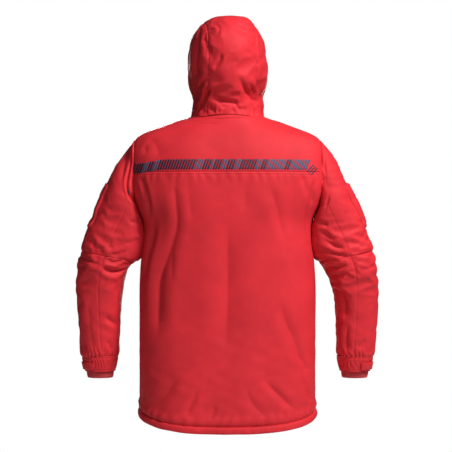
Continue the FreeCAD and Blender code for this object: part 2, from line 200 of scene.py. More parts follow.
class Skin:
    """A garment section as a grid of points. Rows run along it, columns round it."""

    def __init__(self, points, u, v, closed=False, mirror=False):
        self.points = points
        self.u = u
        self.v = v
        self.closed = closed
        self.mirror = mirror
        self.girth = 0.0
        self.offset = np.zeros(points.shape[:2])
        self.normals = self.outward(points)

    def outward(self, points):
        """Unit normals of the grid, pointing out of the garment."""
        if self.closed:
            across = np.roll(points, -1, axis=1) - np.roll(points, 1, axis=1)
        else:
            across = np.gradient(points, axis=1)
        along = np.gradient(points, axis=0)
        normals = np.cross(across, along)
        if self.mirror:
            normals = -normals
        return normals / np.maximum(np.linalg.norm(normals, axis=2, keepdims=True), 1e-12)

    def locate(self, x, z, back):
        """The grid's own coordinates of the point seen at (x, z) from behind or in front."""
        facing = self.normals[..., 1] > 0.0 if back else self.normals[..., 1] < 0.0
        gap = (self.points[..., 0] - x) ** 2 + (self.points[..., 2] - z) ** 2 + np.where(facing, 0.0, 1.0)
        i, j = np.unravel_index(np.argmin(gap), gap.shape)
        return self.u[i, j], self.v[i, j]

    def fold(self, route, width, depth, back=True, lip=0.45, side=0, fade=0.3):
        """Press a fold in along a route of (x, z) points, with a raised lip on one side or both."""
        line = np.array([self.locate(x, z, back) for x, z in route])
        if self.closed:
            shift = np.diff(line[:, 0])
            line[1:, 0] -= np.cumsum(np.round(shift / self.girth)) * self.girth
        keys = lengths(line)
        line = hermite(keys, line, np.linspace(0.0, keys[-1], 20))
        total = keys[-1]
        margin = 4.0 * width
        u, v = self.u, self.v
        if self.closed:
            middle = line[:, 0].mean()
            u = (u - middle + self.girth / 2) % self.girth - self.girth / 2 + middle
        near = ((u > line[:, 0].min() - margin) & (u < line[:, 0].max() + margin)
                & (v > line[:, 1].min() - margin) & (v < line[:, 1].max() + margin))
        place = np.stack([u[near], v[near]], axis=1)
        best = np.full(len(place), 1e9)
        signed = np.zeros(len(place))
        share = np.zeros(len(place))
        run = 0.0
        for start, end in zip(line, line[1:]):
            step = end - start
            size = max(float(np.hypot(*step)), 1e-9)
            t = np.clip(((place - start) @ step) / size ** 2, 0.0, 1.0)
            away = place - start - t[:, None] * step
            distance = np.hypot(away[:, 0], away[:, 1])
            closer = distance < best
            best = np.where(closer, distance, best)
            turn = np.sign(step[0] * away[:, 1] - step[1] * away[:, 0])
            signed = np.where(closer, distance * turn, signed)
            share = np.where(closer, (run + t * size) / total, share)
            run += size
        ends = smooth(share / fade) * smooth((1.0 - share) / fade)
        valley = -np.exp(-(best / width) ** FOLD_EDGE)
        if side:
            valley += lip * bell(side * signed - 1.9 * width, 1.3 * width)
        else:
            valley += 0.5 * lip * bell(best - 2.0 * width, 1.3 * width)
        self.offset[near] += depth * ends * valley

    def surface(self, inset=0.0, share=1.0):
        """The grid moved inwards by an inset, with a share of its folds."""
        return self.points + self.normals * (self.offset * share - inset)[..., None]


def new_object(name, points, faces, uv=None):
    """A smooth-shaded mesh object, with one UV pair per point."""
    mesh = bpy.data.meshes.new(name)
    mesh.from_pydata(points.tolist(), [], faces.tolist())
    if uv is not None:
        layer = mesh.uv_layers.new(name="cloth")
        corners = np.zeros(len(mesh.loops), np.int32)
        mesh.loops.foreach_get("vertex_index", corners)
        layer.data.foreach_set("uv", uv[corners].astype(np.float32).ravel())
    mesh.polygons.foreach_set("use_smooth", [True] * len(mesh.polygons))
    mesh.update()
    piece = bpy.data.objects.new(name, mesh)
    bpy.context.scene.collection.objects.link(piece)
    return piece


def grid_faces(rows, columns, closed, flip):
    """Quads of a grid, anticlockwise seen from outside."""
    last = columns if closed else columns - 1
    i, j = np.meshgrid(np.arange(rows - 1), np.arange(last), indexing="ij")
    a = i * columns + j
    b = i * columns + (j + 1) % columns
    faces = np.stack([a, b, b + columns, a + columns], axis=2).reshape(-1, 4)
    return faces[:, ::-1] if flip else faces


def skin_object(name, skin, points, rows=slice(None), columns=slice(None)):
    """Part of a skin as a mesh, at the points given."""
    part = points[rows, columns]
    u, v = skin.u[rows, columns], skin.v[rows, columns]
    closed = skin.closed and part.shape[1] == skin.points.shape[1]
    faces = grid_faces(part.shape[0], part.shape[1], closed, skin.mirror)
    uv = np.stack([u.ravel(), v.ravel()], axis=1)
    return new_object(name, part.reshape(-1, 3), faces, uv)


def trim(piece, point, normal):
    """Cut away what lies beyond a plane."""
    mesh = bmesh.new()
    mesh.from_mesh(piece.data)
    everything = mesh.verts[:] + mesh.edges[:] + mesh.faces[:]
    bmesh.ops.bisect_plane(mesh, geom=everything, plane_co=point, plane_no=normal,
                           dist=1e-6, clear_outer=True)
    mesh.to_mesh(piece.data)
    mesh.free()


def bake(piece):
    """Make the modifiers' result the piece's own mesh."""
    bpy.context.view_layer.update()
    graph = bpy.context.evaluated_depsgraph_get()
    mesh = bpy.data.meshes.new_from_object(piece.evaluated_get(graph))
    piece.modifiers.clear()
    piece.data = mesh


def thicken(piece, thickness):
    """Give a skin its thickness, inwards, with closed edges."""
    solid = piece.modifiers.new("thickness", "SOLIDIFY")
    solid.thickness = thickness
    solid.offset = -1.0
    bake(piece)


def tree_of(*pieces):
    """A search tree over the faces of several pieces."""
    points = []
    faces = []
    for piece in pieces:
        first = len(points)
        points += [v.co.copy() for v in piece.data.vertices]
        faces += [[first + i for i in p.vertices] for p in piece.data.polygons]
    return BVHTree.FromPolygons(points, faces)


def lay_on(tree, origin, direction):
    """Where a ray meets a surface, and the surface's normal there, turned to face the ray."""
    hit, normal, _, _ = tree.ray_cast(Vector(origin), Vector(direction))
    if hit is None:
        return None
    if normal.dot(Vector(direction)) > 0.0:
        normal = -normal
    return np.array(hit), np.array(normal)


# ------------------------------------------------------------------ materials

def material(name, colour, roughness):
    """A principled material and the nodes that others add to."""
    made = bpy.data.materials.new(name)
    made.use_nodes = True
    shader = made.node_tree.nodes["Principled BSDF"]
    shader.inputs["Base Color"].default_value = (*colour, 1.0)
    shader.inputs["Roughness"].default_value = roughness
    return made, made.node_tree, shader


def math_node(tree, operation, first, second=None):
    node = tree.nodes.new("ShaderNodeMath")
    node.operation = operation
    for socket, value in zip(node.inputs, (first, second)):
        if isinstance(value, (int, float)):
            socket.default_value = value
        elif value is not None:
            tree.links.new(value, socket)
    return node.outputs[0]


def noise_node(tree, coordinates, scale, detail=3.0, roughness=0.55):
    node = tree.nodes.new("ShaderNodeTexNoise")
    node.inputs["Scale"].default_value = scale
    node.inputs["Detail"].default_value = detail
    node.inputs["Roughness"].default_value = roughness
    tree.links.new(coordinates, node.inputs["Vector"])
    return node.outputs["Fac"]


def varied_colour(tree, shader, factor, low, high, span=(0.3, 0.7)):
    """Colour that runs from low to high with a factor."""
    ramp = tree.nodes.new("ShaderNodeValToRGB")
    ramp.color_ramp.elements[0].position = span[0]
    ramp.color_ramp.elements[1].position = span[1]
    ramp.color_ramp.elements[0].color = (*low, 1.0)
    ramp.color_ramp.elements[1].color = (*high, 1.0)
    tree.links.new(factor, ramp.inputs["Fac"])
    tree.links.new(ramp.outputs["Color"], shader.inputs["Base Color"])


def varied_roughness(tree, shader, factor, low, high):
    span = tree.nodes.new("ShaderNodeMapRange")
    span.inputs["To Min"].default_value = low
    span.inputs["To Max"].default_value = high
    tree.links.new(factor, span.inputs["Value"])
    tree.links.new(span.outputs["Result"], shader.inputs["Roughness"])


def bump(tree, shader, height, distance, strength=1.0):
    node = tree.nodes.new("ShaderNodeBump")
    node.inputs["Distance"].default_value = distance
    node.inputs["Strength"].default_value = strength
    tree.links.new(height, node.inputs["Height"])
    tree.links.new(node.outputs["Normal"], shader.inputs["Normal"])


def woven(name, colour, pitch, roughness, sheen, depth=0.00012, mottle=0.10, crumple=0.0):
    """Plain-woven cloth: crossing threads, slubs, a slight mottle and a soft sheen."""
    made, tree, shader = material(name, colour, roughness)
    shader.inputs["Sheen Weight"].default_value = sheen
    shader.inputs["Sheen Roughness"].default_value = 0.40
    shader.inputs["Sheen Tint"].default_value = (1.0, 0.45, 0.45, 1.0)
    shader.inputs["Specular IOR Level"].default_value = 0.12
    uv = tree.nodes.new("ShaderNodeUVMap")
    uv.uv_map = "cloth"
    split = tree.nodes.new("ShaderNodeSeparateXYZ")
    tree.links.new(uv.outputs["UV"], split.inputs[0])
    waves = [math_node(tree, "SINE", math_node(tree, "MULTIPLY", split.outputs[k], 2 * PI / pitch))
             for k in range(2)]
    weave = math_node(tree, "MULTIPLY", waves[0], waves[1])
    place = tree.nodes.new("ShaderNodeTexCoord").outputs["Object"]
    slubs = noise_node(tree, place, 900.0, 2.0)
    height = math_node(tree, "ADD", math_node(tree, "MULTIPLY", weave, 0.5), slubs)
    if crumple:
        creases = noise_node(tree, place, 55.0, 4.0, 0.5)
        height = math_node(tree, "ADD", height, math_node(tree, "MULTIPLY", creases, crumple))
    bump(tree, shader, height, depth)
    cloud = noise_node(tree, place, 11.0, 4.0)
    low = [c * (1.0 - mottle) for c in colour]
    high = [min(c * (1.0 + mottle), 1.0) for c in colour]
    varied_colour(tree, shader, cloud, low, high)
    varied_roughness(tree, shader, slubs, roughness - 0.06, roughness + 0.08)
    return made


def knitted(name, colour):
    """Soft knit: a fuzzy surface over modelled ribs."""
    made, tree, shader = material(name, colour, 0.9)
    shader.inputs["Sheen Weight"].default_value = 0.4
    place = tree.nodes.new("ShaderNodeTexCoord").outputs["Object"]
    fuzz = noise_node(tree, place, 1500.0, 3.0)
    bump(tree, shader, fuzz, 0.0002)
    varied_colour(tree, shader, fuzz, [c * 0.8 for c in colour], [c * 1.15 for c in colour])
    return made


def hard(name, colour, roughness, metallic, wear):
    """Moulded plastic or plated metal, a little scuffed."""
    made, tree, shader = material(name, colour, roughness)
    shader.inputs["Metallic"].default_value = metallic
    place = tree.nodes.new("ShaderNodeTexCoord").outputs["Object"]
    scuffs = noise_node(tree, place, 350.0, 5.0, 0.65)
    varied_roughness(tree, shader, scuffs, roughness - wear, roughness + wear)
    varied_colour(tree, shader, scuffs, [c * 0.88 for c in colour], [min(c * 1.08, 1.0) for c in colour])
    bump(tree, shader, scuffs, 0.00006)
    return made


RED = (0.62, 0.025, 0.035)
SHELL = woven("shell_fabric", RED, 0.0011, 0.52, 0.0, crumple=0.8)
LINING = woven("lining_fabric", (0.030, 0.034, 0.045), 0.0008, 0.50, 0.25)
WADDING = knitted("wadding", (0.72, 0.72, 0.70))
THREAD = woven("thread", (0.50, 0.014, 0.022), 0.0006, 0.7, 0.3)
RIBBING = knitted("knit_ribbing", (0.50, 0.018, 0.026))
STRIPE_DARK = hard("stripe_dark", (0.006, 0.010, 0.030), 0.50, 0.0, 0.08)
STRIPE_LIGHT = hard("stripe_light", (0.030, 0.060, 0.120), 0.55, 0.0, 0.04)
ZIP_CLOTH = knitted("zip_tape_cloth", (0.42, 0.014, 0.022))
PLASTIC = hard("zip_plastic", (0.40, 0.014, 0.022), 0.38, 0.0, 0.08)
METAL = hard("lacquered_metal", (0.060, 0.060, 0.066), 0.34, 0.85, 0.08)
LABEL = woven("label_cloth", (0.66, 0.66, 0.64), 0.0006, 0.7, 0.2)
LOOP = woven("loop_cloth", (0.45, 0.016, 0.026), 0.0009, 0.7, 0.2)


def dress(piece, look, slot, *nodes, body=None):
    """Give a piece its material, hide the nodes it stands for and, if rigid, attach it to its body. The slot
    is not used.
    """
    piece.data.materials.clear()
    piece.data.materials.append(look)
    if nodes:
        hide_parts(*nodes)
    if body:
        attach(piece, body)
    return piece


# ------------------------------------------------------------------ garment surfaces

TORSO_PITCH = 0.0032
SEAM_PITCH = 0.0009
SEAM_REACH = 0.011
SLEEVE_POWER = 2.12


def torso_skin(pitch=TORSO_PITCH):
    """The torso from the hem to the neck, laid out from the front line, round by the back."""
    rows = np.array(TORSO_ROWS)
    keys = lengths(rows[:, [1, 0]])
    seam = np.interp(YOKE_SEAM_Z, rows[:, 0], keys)
    at = np.union1d(steps_between(0.0, keys[-1], pitch),
                    steps_between(seam - SEAM_REACH, seam + SEAM_REACH, SEAM_PITCH))
    z, half, back, power = hermite(keys, rows, at).T
    fine = np.linspace(-0.5 * PI, 1.5 * PI, 4001)
    across, ahead = superellipse(fine, 2.6)
    run = lengths(np.stack([0.221 * across, 0.130 * ahead], axis=1))
    places = steps_between(0.0, run[-1], pitch)
    angles = np.interp(places, run, fine)
    front = front_y(z)
    c, s = superellipse(angles[None, :], power[:, None])
    x = half[:, None] * c
    y = ((front + back) / 2)[:, None] + ((back - front) / 2)[:, None] * s
    bottom = rows[0, 0]
    settle = 1.0 - smooth((z - bottom) / HEM_ROOM)
    z = z[:, None] + (hem_z(y) - bottom) * settle[:, None]
    u = np.broadcast_to(places - run[-1] / 2, x.shape)
    v = np.broadcast_to(at[:, None], x.shape)
    return Skin(np.stack([x, y, z], axis=2), u.copy(), v.copy())


def armhole_outline(angles):
    """The closed line where the torso's surface meets the plane of the armhole seam."""
    rows = np.array(TORSO_ROWS)
    keys = lengths(rows[:, [1, 0]])
    z, half, back, power = hermite(keys, rows, np.linspace(0.0, keys[-1], 3000)).T
    inside = np.where(half > ARMHOLE_X)[0]
    low, high = z[inside[0]], z[inside[-1]]
    heights = (low + high) / 2 + (high - low) / 2 * np.cos(angles)
    half, back, power = (np.interp(heights, z, values) for values in (half, back, power))
    front = front_y(heights)
    share = np.clip(1.0 - (ARMHOLE_X / half) ** power, 0.0, None) ** (1.0 / power)
    y = (front + back) / 2 + (back - front) / 2 * share * np.sign(np.sin(angles))
    return np.stack([np.full_like(y, ARMHOLE_X), y, heights], axis=1)


ARM_CLEARANCE = 0.0025
SLEEVE_TUCK = 0.0030


def torso_side(y, z):
    """How far out the torso's side is at a depth and a height."""
    rows = np.array(TORSO_ROWS)
    keys = lengths(rows[:, [1, 0]])
    heights, half, back, power = hermite(keys, rows, np.linspace(0.0, keys[-1], 2000)).T
    half, back, power = (np.interp(z, heights, values) for values in (half, back, power))
    front = front_y(z)
    share = np.clip(np.abs(y - (front + back) / 2) / ((back - front) / 2), 0.0, 1.0)
    return half * (1.0 - share ** power) ** (1.0 / power)


def sleeve_keys():
    rows = np.array(SLEEVE_ROWS)
    centres = np.stack([(rows[:, 0] + rows[:, 2]) / 2, rows[:, 4], (rows[:, 1] + rows[:, 3]) / 2], axis=1)
    return lengths(centres)


def sleeve_skin(side, start=0.0, end=None, pitch=0.0026, columns=176):
    """The sleeve's tube between two places along it; side is 1 for left, -1 for right."""
    rows = np.array(SLEEVE_ROWS)
    keys = sleeve_keys()
    at = steps_between(start, keys[-1] if end is None else end, pitch)
    values = hermite(keys, rows, at)
    outer, inner = values[:, [0, 1]], values[:, [2, 3]]
    centre, across = (outer + inner) / 2, (outer - inner) / 2
    angles = np.arange(columns) * (2 * PI / columns)
    c, s = superellipse(angles, SLEEVE_POWER)
    x = centre[:, [0]] + across[:, [0]] * c
    z = centre[:, [1]] + across[:, [1]] * c
    y = values[:, [4]] + values[:, [5]] * s
    points = np.stack([x, y, z], axis=2)
    settle = smooth(at / 0.045)[:, None, None]
    points = armhole_outline(angles)[None] * (1.0 - settle) + points * settle
    beside = torso_side(points[..., 1], points[..., 2]) + ARM_CLEARANCE
    resting = smooth((at - 0.02) / 0.03)[:, None]
    points[..., 0] += np.clip(beside - points[..., 0], 0.0, None) * resting
    points[:2, :, 0] -= SLEEVE_TUCK * np.array([[1.0], [0.5]]) * (start == 0.0)
    points[..., 0] *= side
    girth = 0.42
    u = np.broadcast_to(angles * girth / (2 * PI), x.shape).copy()
    v = np.broadcast_to(at[:, None], x.shape).copy()
    skin = Skin(points, u, v, closed=True, mirror=side > 0)
    skin.girth = girth
    return skin


def hood_skin(pitch=0.0026, columns=250):
    """The hood from the neck seam up to the crown, all the way round."""
    rows = np.array(HOOD_ROWS)
    keys = lengths(np.stack([rows[:, 1], rows[:, 3], rows[:, 0]], axis=1))
    at = steps_between(0.0, keys[-1], pitch)
    z, half, front, back = hermite(keys, rows, at).T
    angles = np.arange(columns) * (2 * PI / columns)
    c, s = superellipse(angles, HOOD_POWER)
    x = half[:, None] * c
    y = ((front + back) / 2)[:, None] + ((back - front) / 2)[:, None] * s
    dip = NECK_DIP * (x / rows[0, 1]) ** 2 * (1.0 - smooth(at / 0.030))[:, None]
    points = np.stack([x, y, z[:, None] - dip], axis=2)
    girth = 0.60
    u = np.broadcast_to(angles * girth / (2 * PI), x.shape).copy()
    v = np.broadcast_to(at[:, None], x.shape).copy()
    skin = Skin(points, u, v, closed=True)
    skin.girth = girth
    return skin


def seam_groove(distance, depth=0.0018, width=0.0022, stitch_at=0.006):
    """How far a seam and the row of stitches beside it draw the cloth in."""
    d = np.abs(distance)
    return -depth * bell(d, width) - 0.35 * depth * bell(d - stitch_at, 0.0016)


# ------------------------------------------------------------------ folds, placed as (x, z)

BACK_FOLDS = [
    # route, width, depth, lip side
    ([(0.182, -0.235), (0.189, -0.301), (0.199, -0.347), (0.206, -0.410)], 0.010, 0.0075, 0),
    ([(0.122, -0.132), (0.124, -0.215), (0.124, -0.258), (0.131, -0.294), (0.148, -0.337)], 0.011, 0.0050, 0),
    ([(0.128, -0.270), (0.148, -0.337), (0.163, -0.378), (0.167, -0.438), (0.170, -0.540)], 0.016, 0.0085, 0),
    ([(0.134, -0.315), (0.134, -0.400)], 0.006, 0.0016, 0),
    ([(-0.098, -0.150), (-0.110, -0.190), (-0.123, -0.235), (-0.140, -0.300)], 0.012, 0.0040, 0),
    ([(-0.196, -0.150), (-0.201, -0.222), (-0.201, -0.300)], 0.008, 0.0040, 0),
    ([(-0.001, -0.235), (-0.001, -0.330), (0.000, -0.430), (0.006, -0.580)], 0.026, 0.0075, 0),
    ([(-0.128, -0.430), (-0.136, -0.477), (-0.165, -0.546), (-0.196, -0.636)], 0.012, 0.0055, 0),
    ([(-0.085, -0.625), (-0.105, -0.650), (-0.129, -0.674), (-0.165, -0.715)], 0.009, 0.0042, 0),
    ([(-0.176, -0.600), (-0.190, -0.645), (-0.203, -0.702)], 0.006, 0.0036, 0),
    ([(-0.176, -0.573), (-0.198, -0.618)], 0.005, 0.0030, 0),
    ([(-0.040, -0.640), (-0.060, -0.690), (-0.100, -0.730)], 0.012, 0.0032, 0),
    ([(0.070, -0.655), (0.088, -0.690), (0.102, -0.725)], 0.008, 0.0034, 0),
    ([(0.030, -0.690), (0.040, -0.735)], 0.006, 0.0026, 0),
    ([(0.120, -0.620), (0.150, -0.670), (0.185, -0.705)], 0.014, 0.0040, 0),
    ([(0.095, -0.132), (0.092, -0.190), (0.088, -0.260)], 0.016, 0.0028, 0),
    ([(-0.150, -0.135), (-0.158, -0.200), (-0.160, -0.290)], 0.014, 0.0030, 0),
    ([(-0.045, -0.145), (-0.040, -0.230)], 0.014, 0.0020, 0),
    ([(0.218, -0.134), (0.204, -0.160), (0.196, -0.200), (0.192, -0.240)], 0.0055, 0.0075, 0),
    ([(-0.179, -0.133), (-0.194, -0.190)], 0.006, 0.0030, 0),
    ([(-0.218, -0.140), (-0.210, -0.160), (-0.206, -0.215)], 0.005, 0.0048, 0),
    ([(0.190, -0.040), (0.170, -0.075), (0.165, -0.100)], 0.014, 0.0030, 0),
    ([(0.205, -0.060), (0.196, -0.085)], 0.009, 0.0028, 0),
    ([(0.072, -0.004), (0.045, 0.002), (0.020, 0.002), (-0.030, 0.004), (-0.100, -0.006)], 0.0045, 0.0022, 0),
    ([(0.080, -0.012), (0.050, -0.009), (0.020, -0.012)], 0.005, 0.0014, 0),
]
FRONT_FOLDS = [
    ([(0.196, -0.150), (0.190, -0.230), (0.200, -0.320)], 0.009, 0.0050, 0),
    ([(-0.194, -0.150), (-0.188, -0.230), (-0.199, -0.320)], 0.009, 0.0050, 0),
    ([(0.190, -0.360), (0.170, -0.410), (0.120, -0.440)], 0.012, 0.0045, 0),
    ([(-0.195, -0.350), (-0.165, -0.405), (-0.105, -0.445)], 0.012, 0.0045, 0),
    ([(0.120, -0.320), (0.105, -0.385), (0.070, -0.430)], 0.012, 0.0035, 0),
    ([(-0.110, -0.320), (-0.100, -0.375), (-0.060, -0.425)], 0.012, 0.0035, 0),
    ([(0.200, -0.520), (0.190, -0.600), (0.196, -0.690)], 0.010, 0.0045, 0),
    ([(-0.199, -0.500), (-0.190, -0.590), (-0.197, -0.690)], 0.010, 0.0045, 0),
    ([(0.150, -0.060), (0.120, -0.095), (0.080, -0.115)], 0.014, 0.0030, 0),
    ([(-0.150, -0.060), (-0.120, -0.095), (-0.080, -0.115)], 0.014, 0.0030, 0),
]
SLEEVE_FOLDS = {
    1: [
        ([(0.240, -0.080), (0.243, -0.125), (0.246, -0.165), (0.232, -0.200)], 0.0050, 0.0070, True),
        ([(0.250, -0.070), (0.257, -0.110), (0.255, -0.150)], 0.0080, 0.0035, True),
        ([(0.243, -0.252), (0.225, -0.250), (0.216, -0.244)], 0.0045, 0.0045, True),
        ([(0.255, -0.305), (0.238, -0.300), (0.222, -0.294)], 0.0050, 0.0034, True),
        ([(0.312, -0.352), (0.285, -0.372), (0.262, -0.372), (0.246, -0.364)], 0.0055, 0.0062, True),
        ([(0.300, -0.340), (0.278, -0.350), (0.255, -0.345)], 0.0050, 0.0038, True),
        ([(0.290, -0.328), (0.270, -0.330), (0.250, -0.318)], 0.0060, 0.0030, True),
        ([(0.306, -0.485), (0.290, -0.497), (0.276, -0.508)], 0.0065, 0.0046, True),
        ([(0.350, -0.190), (0.335, -0.215), (0.322, -0.255)], 0.0120, 0.0030, True),
        ([(0.372, -0.334), (0.340, -0.347), (0.310, -0.356)], 0.0036, 0.0034, True),
        ([(0.366, -0.356), (0.340, -0.368), (0.313, -0.378)], 0.0022, 0.0012, True),
        ([(0.345, -0.440), (0.340, -0.520), (0.335, -0.570)], 0.0180, 0.0030, True),
        ([(0.300, -0.545), (0.288, -0.572)], 0.0070, 0.0035, True),
        ([(0.252, -0.250), (0.235, -0.290), (0.240, -0.330)], 0.0060, 0.0040, False),
        ([(0.330, -0.300), (0.290, -0.330), (0.250, -0.335)], 0.0070, 0.0055, False),
        ([(0.345, -0.345), (0.300, -0.360), (0.255, -0.358)], 0.0070, 0.0062, False),
        ([(0.340, -0.385), (0.300, -0.388), (0.262, -0.380)], 0.0065, 0.0048, False),
        ([(0.350, -0.440), (0.320, -0.470), (0.285, -0.480)], 0.0080, 0.0040, False),
        ([(0.345, -0.540), (0.320, -0.560), (0.292, -0.560)], 0.0080, 0.0035, False),
    ],
    -1: [
        ([(-0.236, -0.060), (-0.238, -0.100), (-0.236, -0.135)], 0.0045, 0.0050, True),
        ([(-0.248, -0.182), (-0.246, -0.200), (-0.238, -0.218)], 0.0050, 0.0040, True),
        ([(-0.222, -0.254), (-0.238, -0.258), (-0.246, -0.264)], 0.0045, 0.0055, True),
        ([(-0.222, -0.268), (-0.250, -0.288), (-0.272, -0.304)], 0.0055, 0.0062, True),
        ([(-0.226, -0.288), (-0.258, -0.306), (-0.292, -0.320)], 0.0055, 0.0062, True),
        ([(-0.232, -0.312), (-0.262, -0.330), (-0.300, -0.336)], 0.0055, 0.0048, True),
        ([(-0.246, -0.362), (-0.272, -0.364), (-0.298, -0.352)], 0.0055, 0.0058, True),
        ([(-0.254, -0.384), (-0.280, -0.380), (-0.310, -0.366)], 0.0050, 0.0036, True),
        ([(-0.372, -0.350), (-0.352, -0.362), (-0.324, -0.368)], 0.0036, 0.0036, True),
        ([(-0.366, -0.330), (-0.345, -0.344)], 0.0060, 0.0034, True),
        ([(-0.278, -0.410), (-0.290, -0.450), (-0.292, -0.500)], 0.0150, 0.0058, True),
        ([(-0.300, -0.500), (-0.296, -0.540), (-0.300, -0.580)], 0.0080, 0.0044, True),
        ([(-0.345, -0.540), (-0.325, -0.570)], 0.0080, 0.0032, True),
        ([(-0.300, -0.170), (-0.315, -0.220)], 0.0140, 0.0026, True),
        ([(-0.252, -0.250), (-0.235, -0.290), (-0.240, -0.330)], 0.0060, 0.0040, False),
        ([(-0.325, -0.295), (-0.290, -0.322), (-0.250, -0.330)], 0.0070, 0.0055, False),
        ([(-0.345, -0.340), (-0.300, -0.352), (-0.255, -0.355)], 0.0070, 0.0062, False),
        ([(-0.342, -0.388), (-0.300, -0.392), (-0.262, -0.384)], 0.0065, 0.0048, False),
        ([(-0.350, -0.450), (-0.320, -0.478), (-0.285, -0.490)], 0.0080, 0.0040, False),
    ],
}
HOOD_FOLDS = [
    ([(0.016, 0.158), (0.019, 0.141), (0.027, 0.128), (0.036, 0.118)], 0.0045, 0.0042, True),
    ([(0.046, 0.108), (0.056, 0.094), (0.068, 0.084), (0.078, 0.076)], 0.0055, 0.0046, True),
    ([(0.045, 0.078), (0.052, 0.060), (0.066, 0.036), (0.082, 0.014)], 0.0055, 0.0120, True),
    ([(0.040, 0.052), (0.020, 0.047), (-0.005, 0.042), (-0.034, 0.038)], 0.0060, 0.0080, True),
    ([(-0.028, 0.106), (-0.036, 0.086), (-0.050, 0.066), (-0.064, 0.055), (-0.084, 0.048)],
     0.0100, 0.0080, True),
    ([(-0.050, 0.092), (-0.060, 0.076), (-0.072, 0.062)], 0.0050, 0.0035, True),
    ([(0.068, 0.215), (0.074, 0.180), (0.076, 0.140), (0.074, 0.090)], 0.0090, 0.0060, True),
    ([(0.030, 0.232), (0.021, 0.222), (0.020, 0.208), (0.034, 0.197)], 0.0042, 0.0028, True),
    ([(-0.030, 0.230), (-0.052, 0.222), (-0.076, 0.219)], 0.0040, 0.0030, True),
    ([(0.060, 0.200), (0.052, 0.180), (0.046, 0.165)], 0.0060, 0.0030, True),
    ([(0.024, 0.036), (0.010, 0.030), (-0.010, 0.030)], 0.0040, 0.0026, True),
    ([(-0.020, 0.030), (-0.034, 0.026), (-0.050, 0.028)], 0.0035, 0.0022, True),
    ([(0.048, 0.034), (0.036, 0.024), (0.030, 0.014)], 0.0035, 0.0028, True),
    ([(-0.060, 0.205), (-0.066, 0.180), (-0.060, 0.160)], 0.0100, 0.0020, True),
]


# ------------------------------------------------------------------ wrinkles by simulation

def resample(values, size, closed):
    """Smoothly redraw a coarse grid of values on a finer one."""
    for axis, count in ((0, size[0]), (1, size[1])):
        values = np.moveaxis(values, axis, 0)
        wraps = closed and axis == 1
        at = np.arange(count) * (len(values) / count) if wraps else np.linspace(0.0, len(values) - 1.0, count)
        base = np.floor(at).astype(int)
        t = (at - base)[:, None]
        take = [base + shift for shift in (-1, 0, 1, 2)]
        if wraps:
            a, b, c, d = (values[index % len(values)] for index in take)
        else:
            a, b, c, d = (values[np.clip(index, 0, len(values) - 1)] for index in take)
        drawn = b + 0.5 * t * (c - a + t * (2 * a - 5 * b + 4 * c - d + t * (3 * (b - c) + d - a)))
        values = np.moveaxis(drawn, 0, axis)
    return values


def wrinkle(name, skin, seams, slack, cap, share=1.0, stiffness=0.5, pitch=3, steps=20):
    """Let a section of shell, cut larger than its seams hold it, settle into wrinkles."""
    points = skin.surface()[::pitch, ::pitch]
    normals = skin.outward(points)
    rows, columns = points.shape[:2]
    piece = new_object(name, points.reshape(-1, 3), grid_faces(rows, columns, skin.closed, skin.mirror))
    held = piece.vertex_groups.new(name="held")
    pull = np.max([seam[::pitch, ::pitch] for seam in seams], axis=0).ravel()
    held.add(np.where(pull > 0.5)[0].tolist(), 1.0, "REPLACE")
    cloth = piece.modifiers.new("cloth", "CLOTH")
    settings = cloth.settings
    settings.quality = 5
    settings.mass = 0.3
    settings.tension_stiffness = 15.0
    settings.compression_stiffness = 15.0
    settings.shear_stiffness = 5.0
    settings.bending_stiffness = stiffness
    settings.effector_weights.gravity = 0.0
    settings.vertex_group_mass = "held"
    settings.shrink_min = -slack
    settings.shrink_max = -slack
    cloth.collision_settings.use_collision = False
    for frame in range(1, steps + 1):
        bpy.context.scene.frame_set(frame)
    settled = piece.evaluated_get(bpy.context.evaluated_depsgraph_get()).to_mesh()
    places = np.zeros(rows * columns * 3, np.float32)
    settled.vertices.foreach_get("co", places)
    moved = ((places.reshape(points.shape) - points) * normals).sum(axis=2)
    bpy.data.objects.remove(piece)
    bpy.context.scene.frame_set(1)
    moved -= np.median(moved)
    skin.offset += share * resample(cap * np.tanh(moved / cap), skin.offset.shape, skin.closed)


# ------------------------------------------------------------------ shaped pieces

def slab_part(top, bottom, first):
    """The points and faces of a closed slab between two grids of the same shape."""
    rows, columns = top.shape[:2]
    count = rows * columns
    upper = grid_faces(rows, columns, False, False)
    faces = [upper + first, upper[:, ::-1] + count + first]
    index = np.arange(count).reshape(rows, columns)
    edges = (index[0], index[:, -1], index[-1, ::-1], index[::-1, 0])
    for edge in edges:
        a, b = edge[:-1], edge[1:]
        faces.append(np.stack([b, a, a + count, b + count], axis=1) + first)
    return np.concatenate([top.reshape(-1, 3), bottom.reshape(-1, 3)]), np.concatenate(faces)


def slabs(name, parts):
    """One piece made of closed slabs; each part is its top grid, bottom grid and material index."""
    points, faces, looks, uvs = [], [], [], []
    first = 0
    for top, bottom, look in parts:
        p, f = slab_part(top, bottom, first)
        across = np.linalg.norm(np.diff(top, axis=1, prepend=top[:, :1]), axis=2).cumsum(axis=1)
        along = np.linalg.norm(np.diff(top, axis=0, prepend=top[:1]), axis=2).cumsum(axis=0)
        uv = np.stack([across.ravel(), along.ravel()], axis=1)
        points.append(p)
        faces.append(f)
        uvs += [uv, uv]
        looks += [look] * len(f)
        first += len(p)
    piece = new_object(name, np.concatenate(points), np.concatenate(faces), np.concatenate(uvs))
    tidy = bmesh.new()
    tidy.from_mesh(piece.data)
    bmesh.ops.recalc_face_normals(tidy, faces=tidy.faces[:])
    tidy.to_mesh(piece.data)
    tidy.free()
    piece.data.polygons.foreach_set("material_index", looks)
    return piece


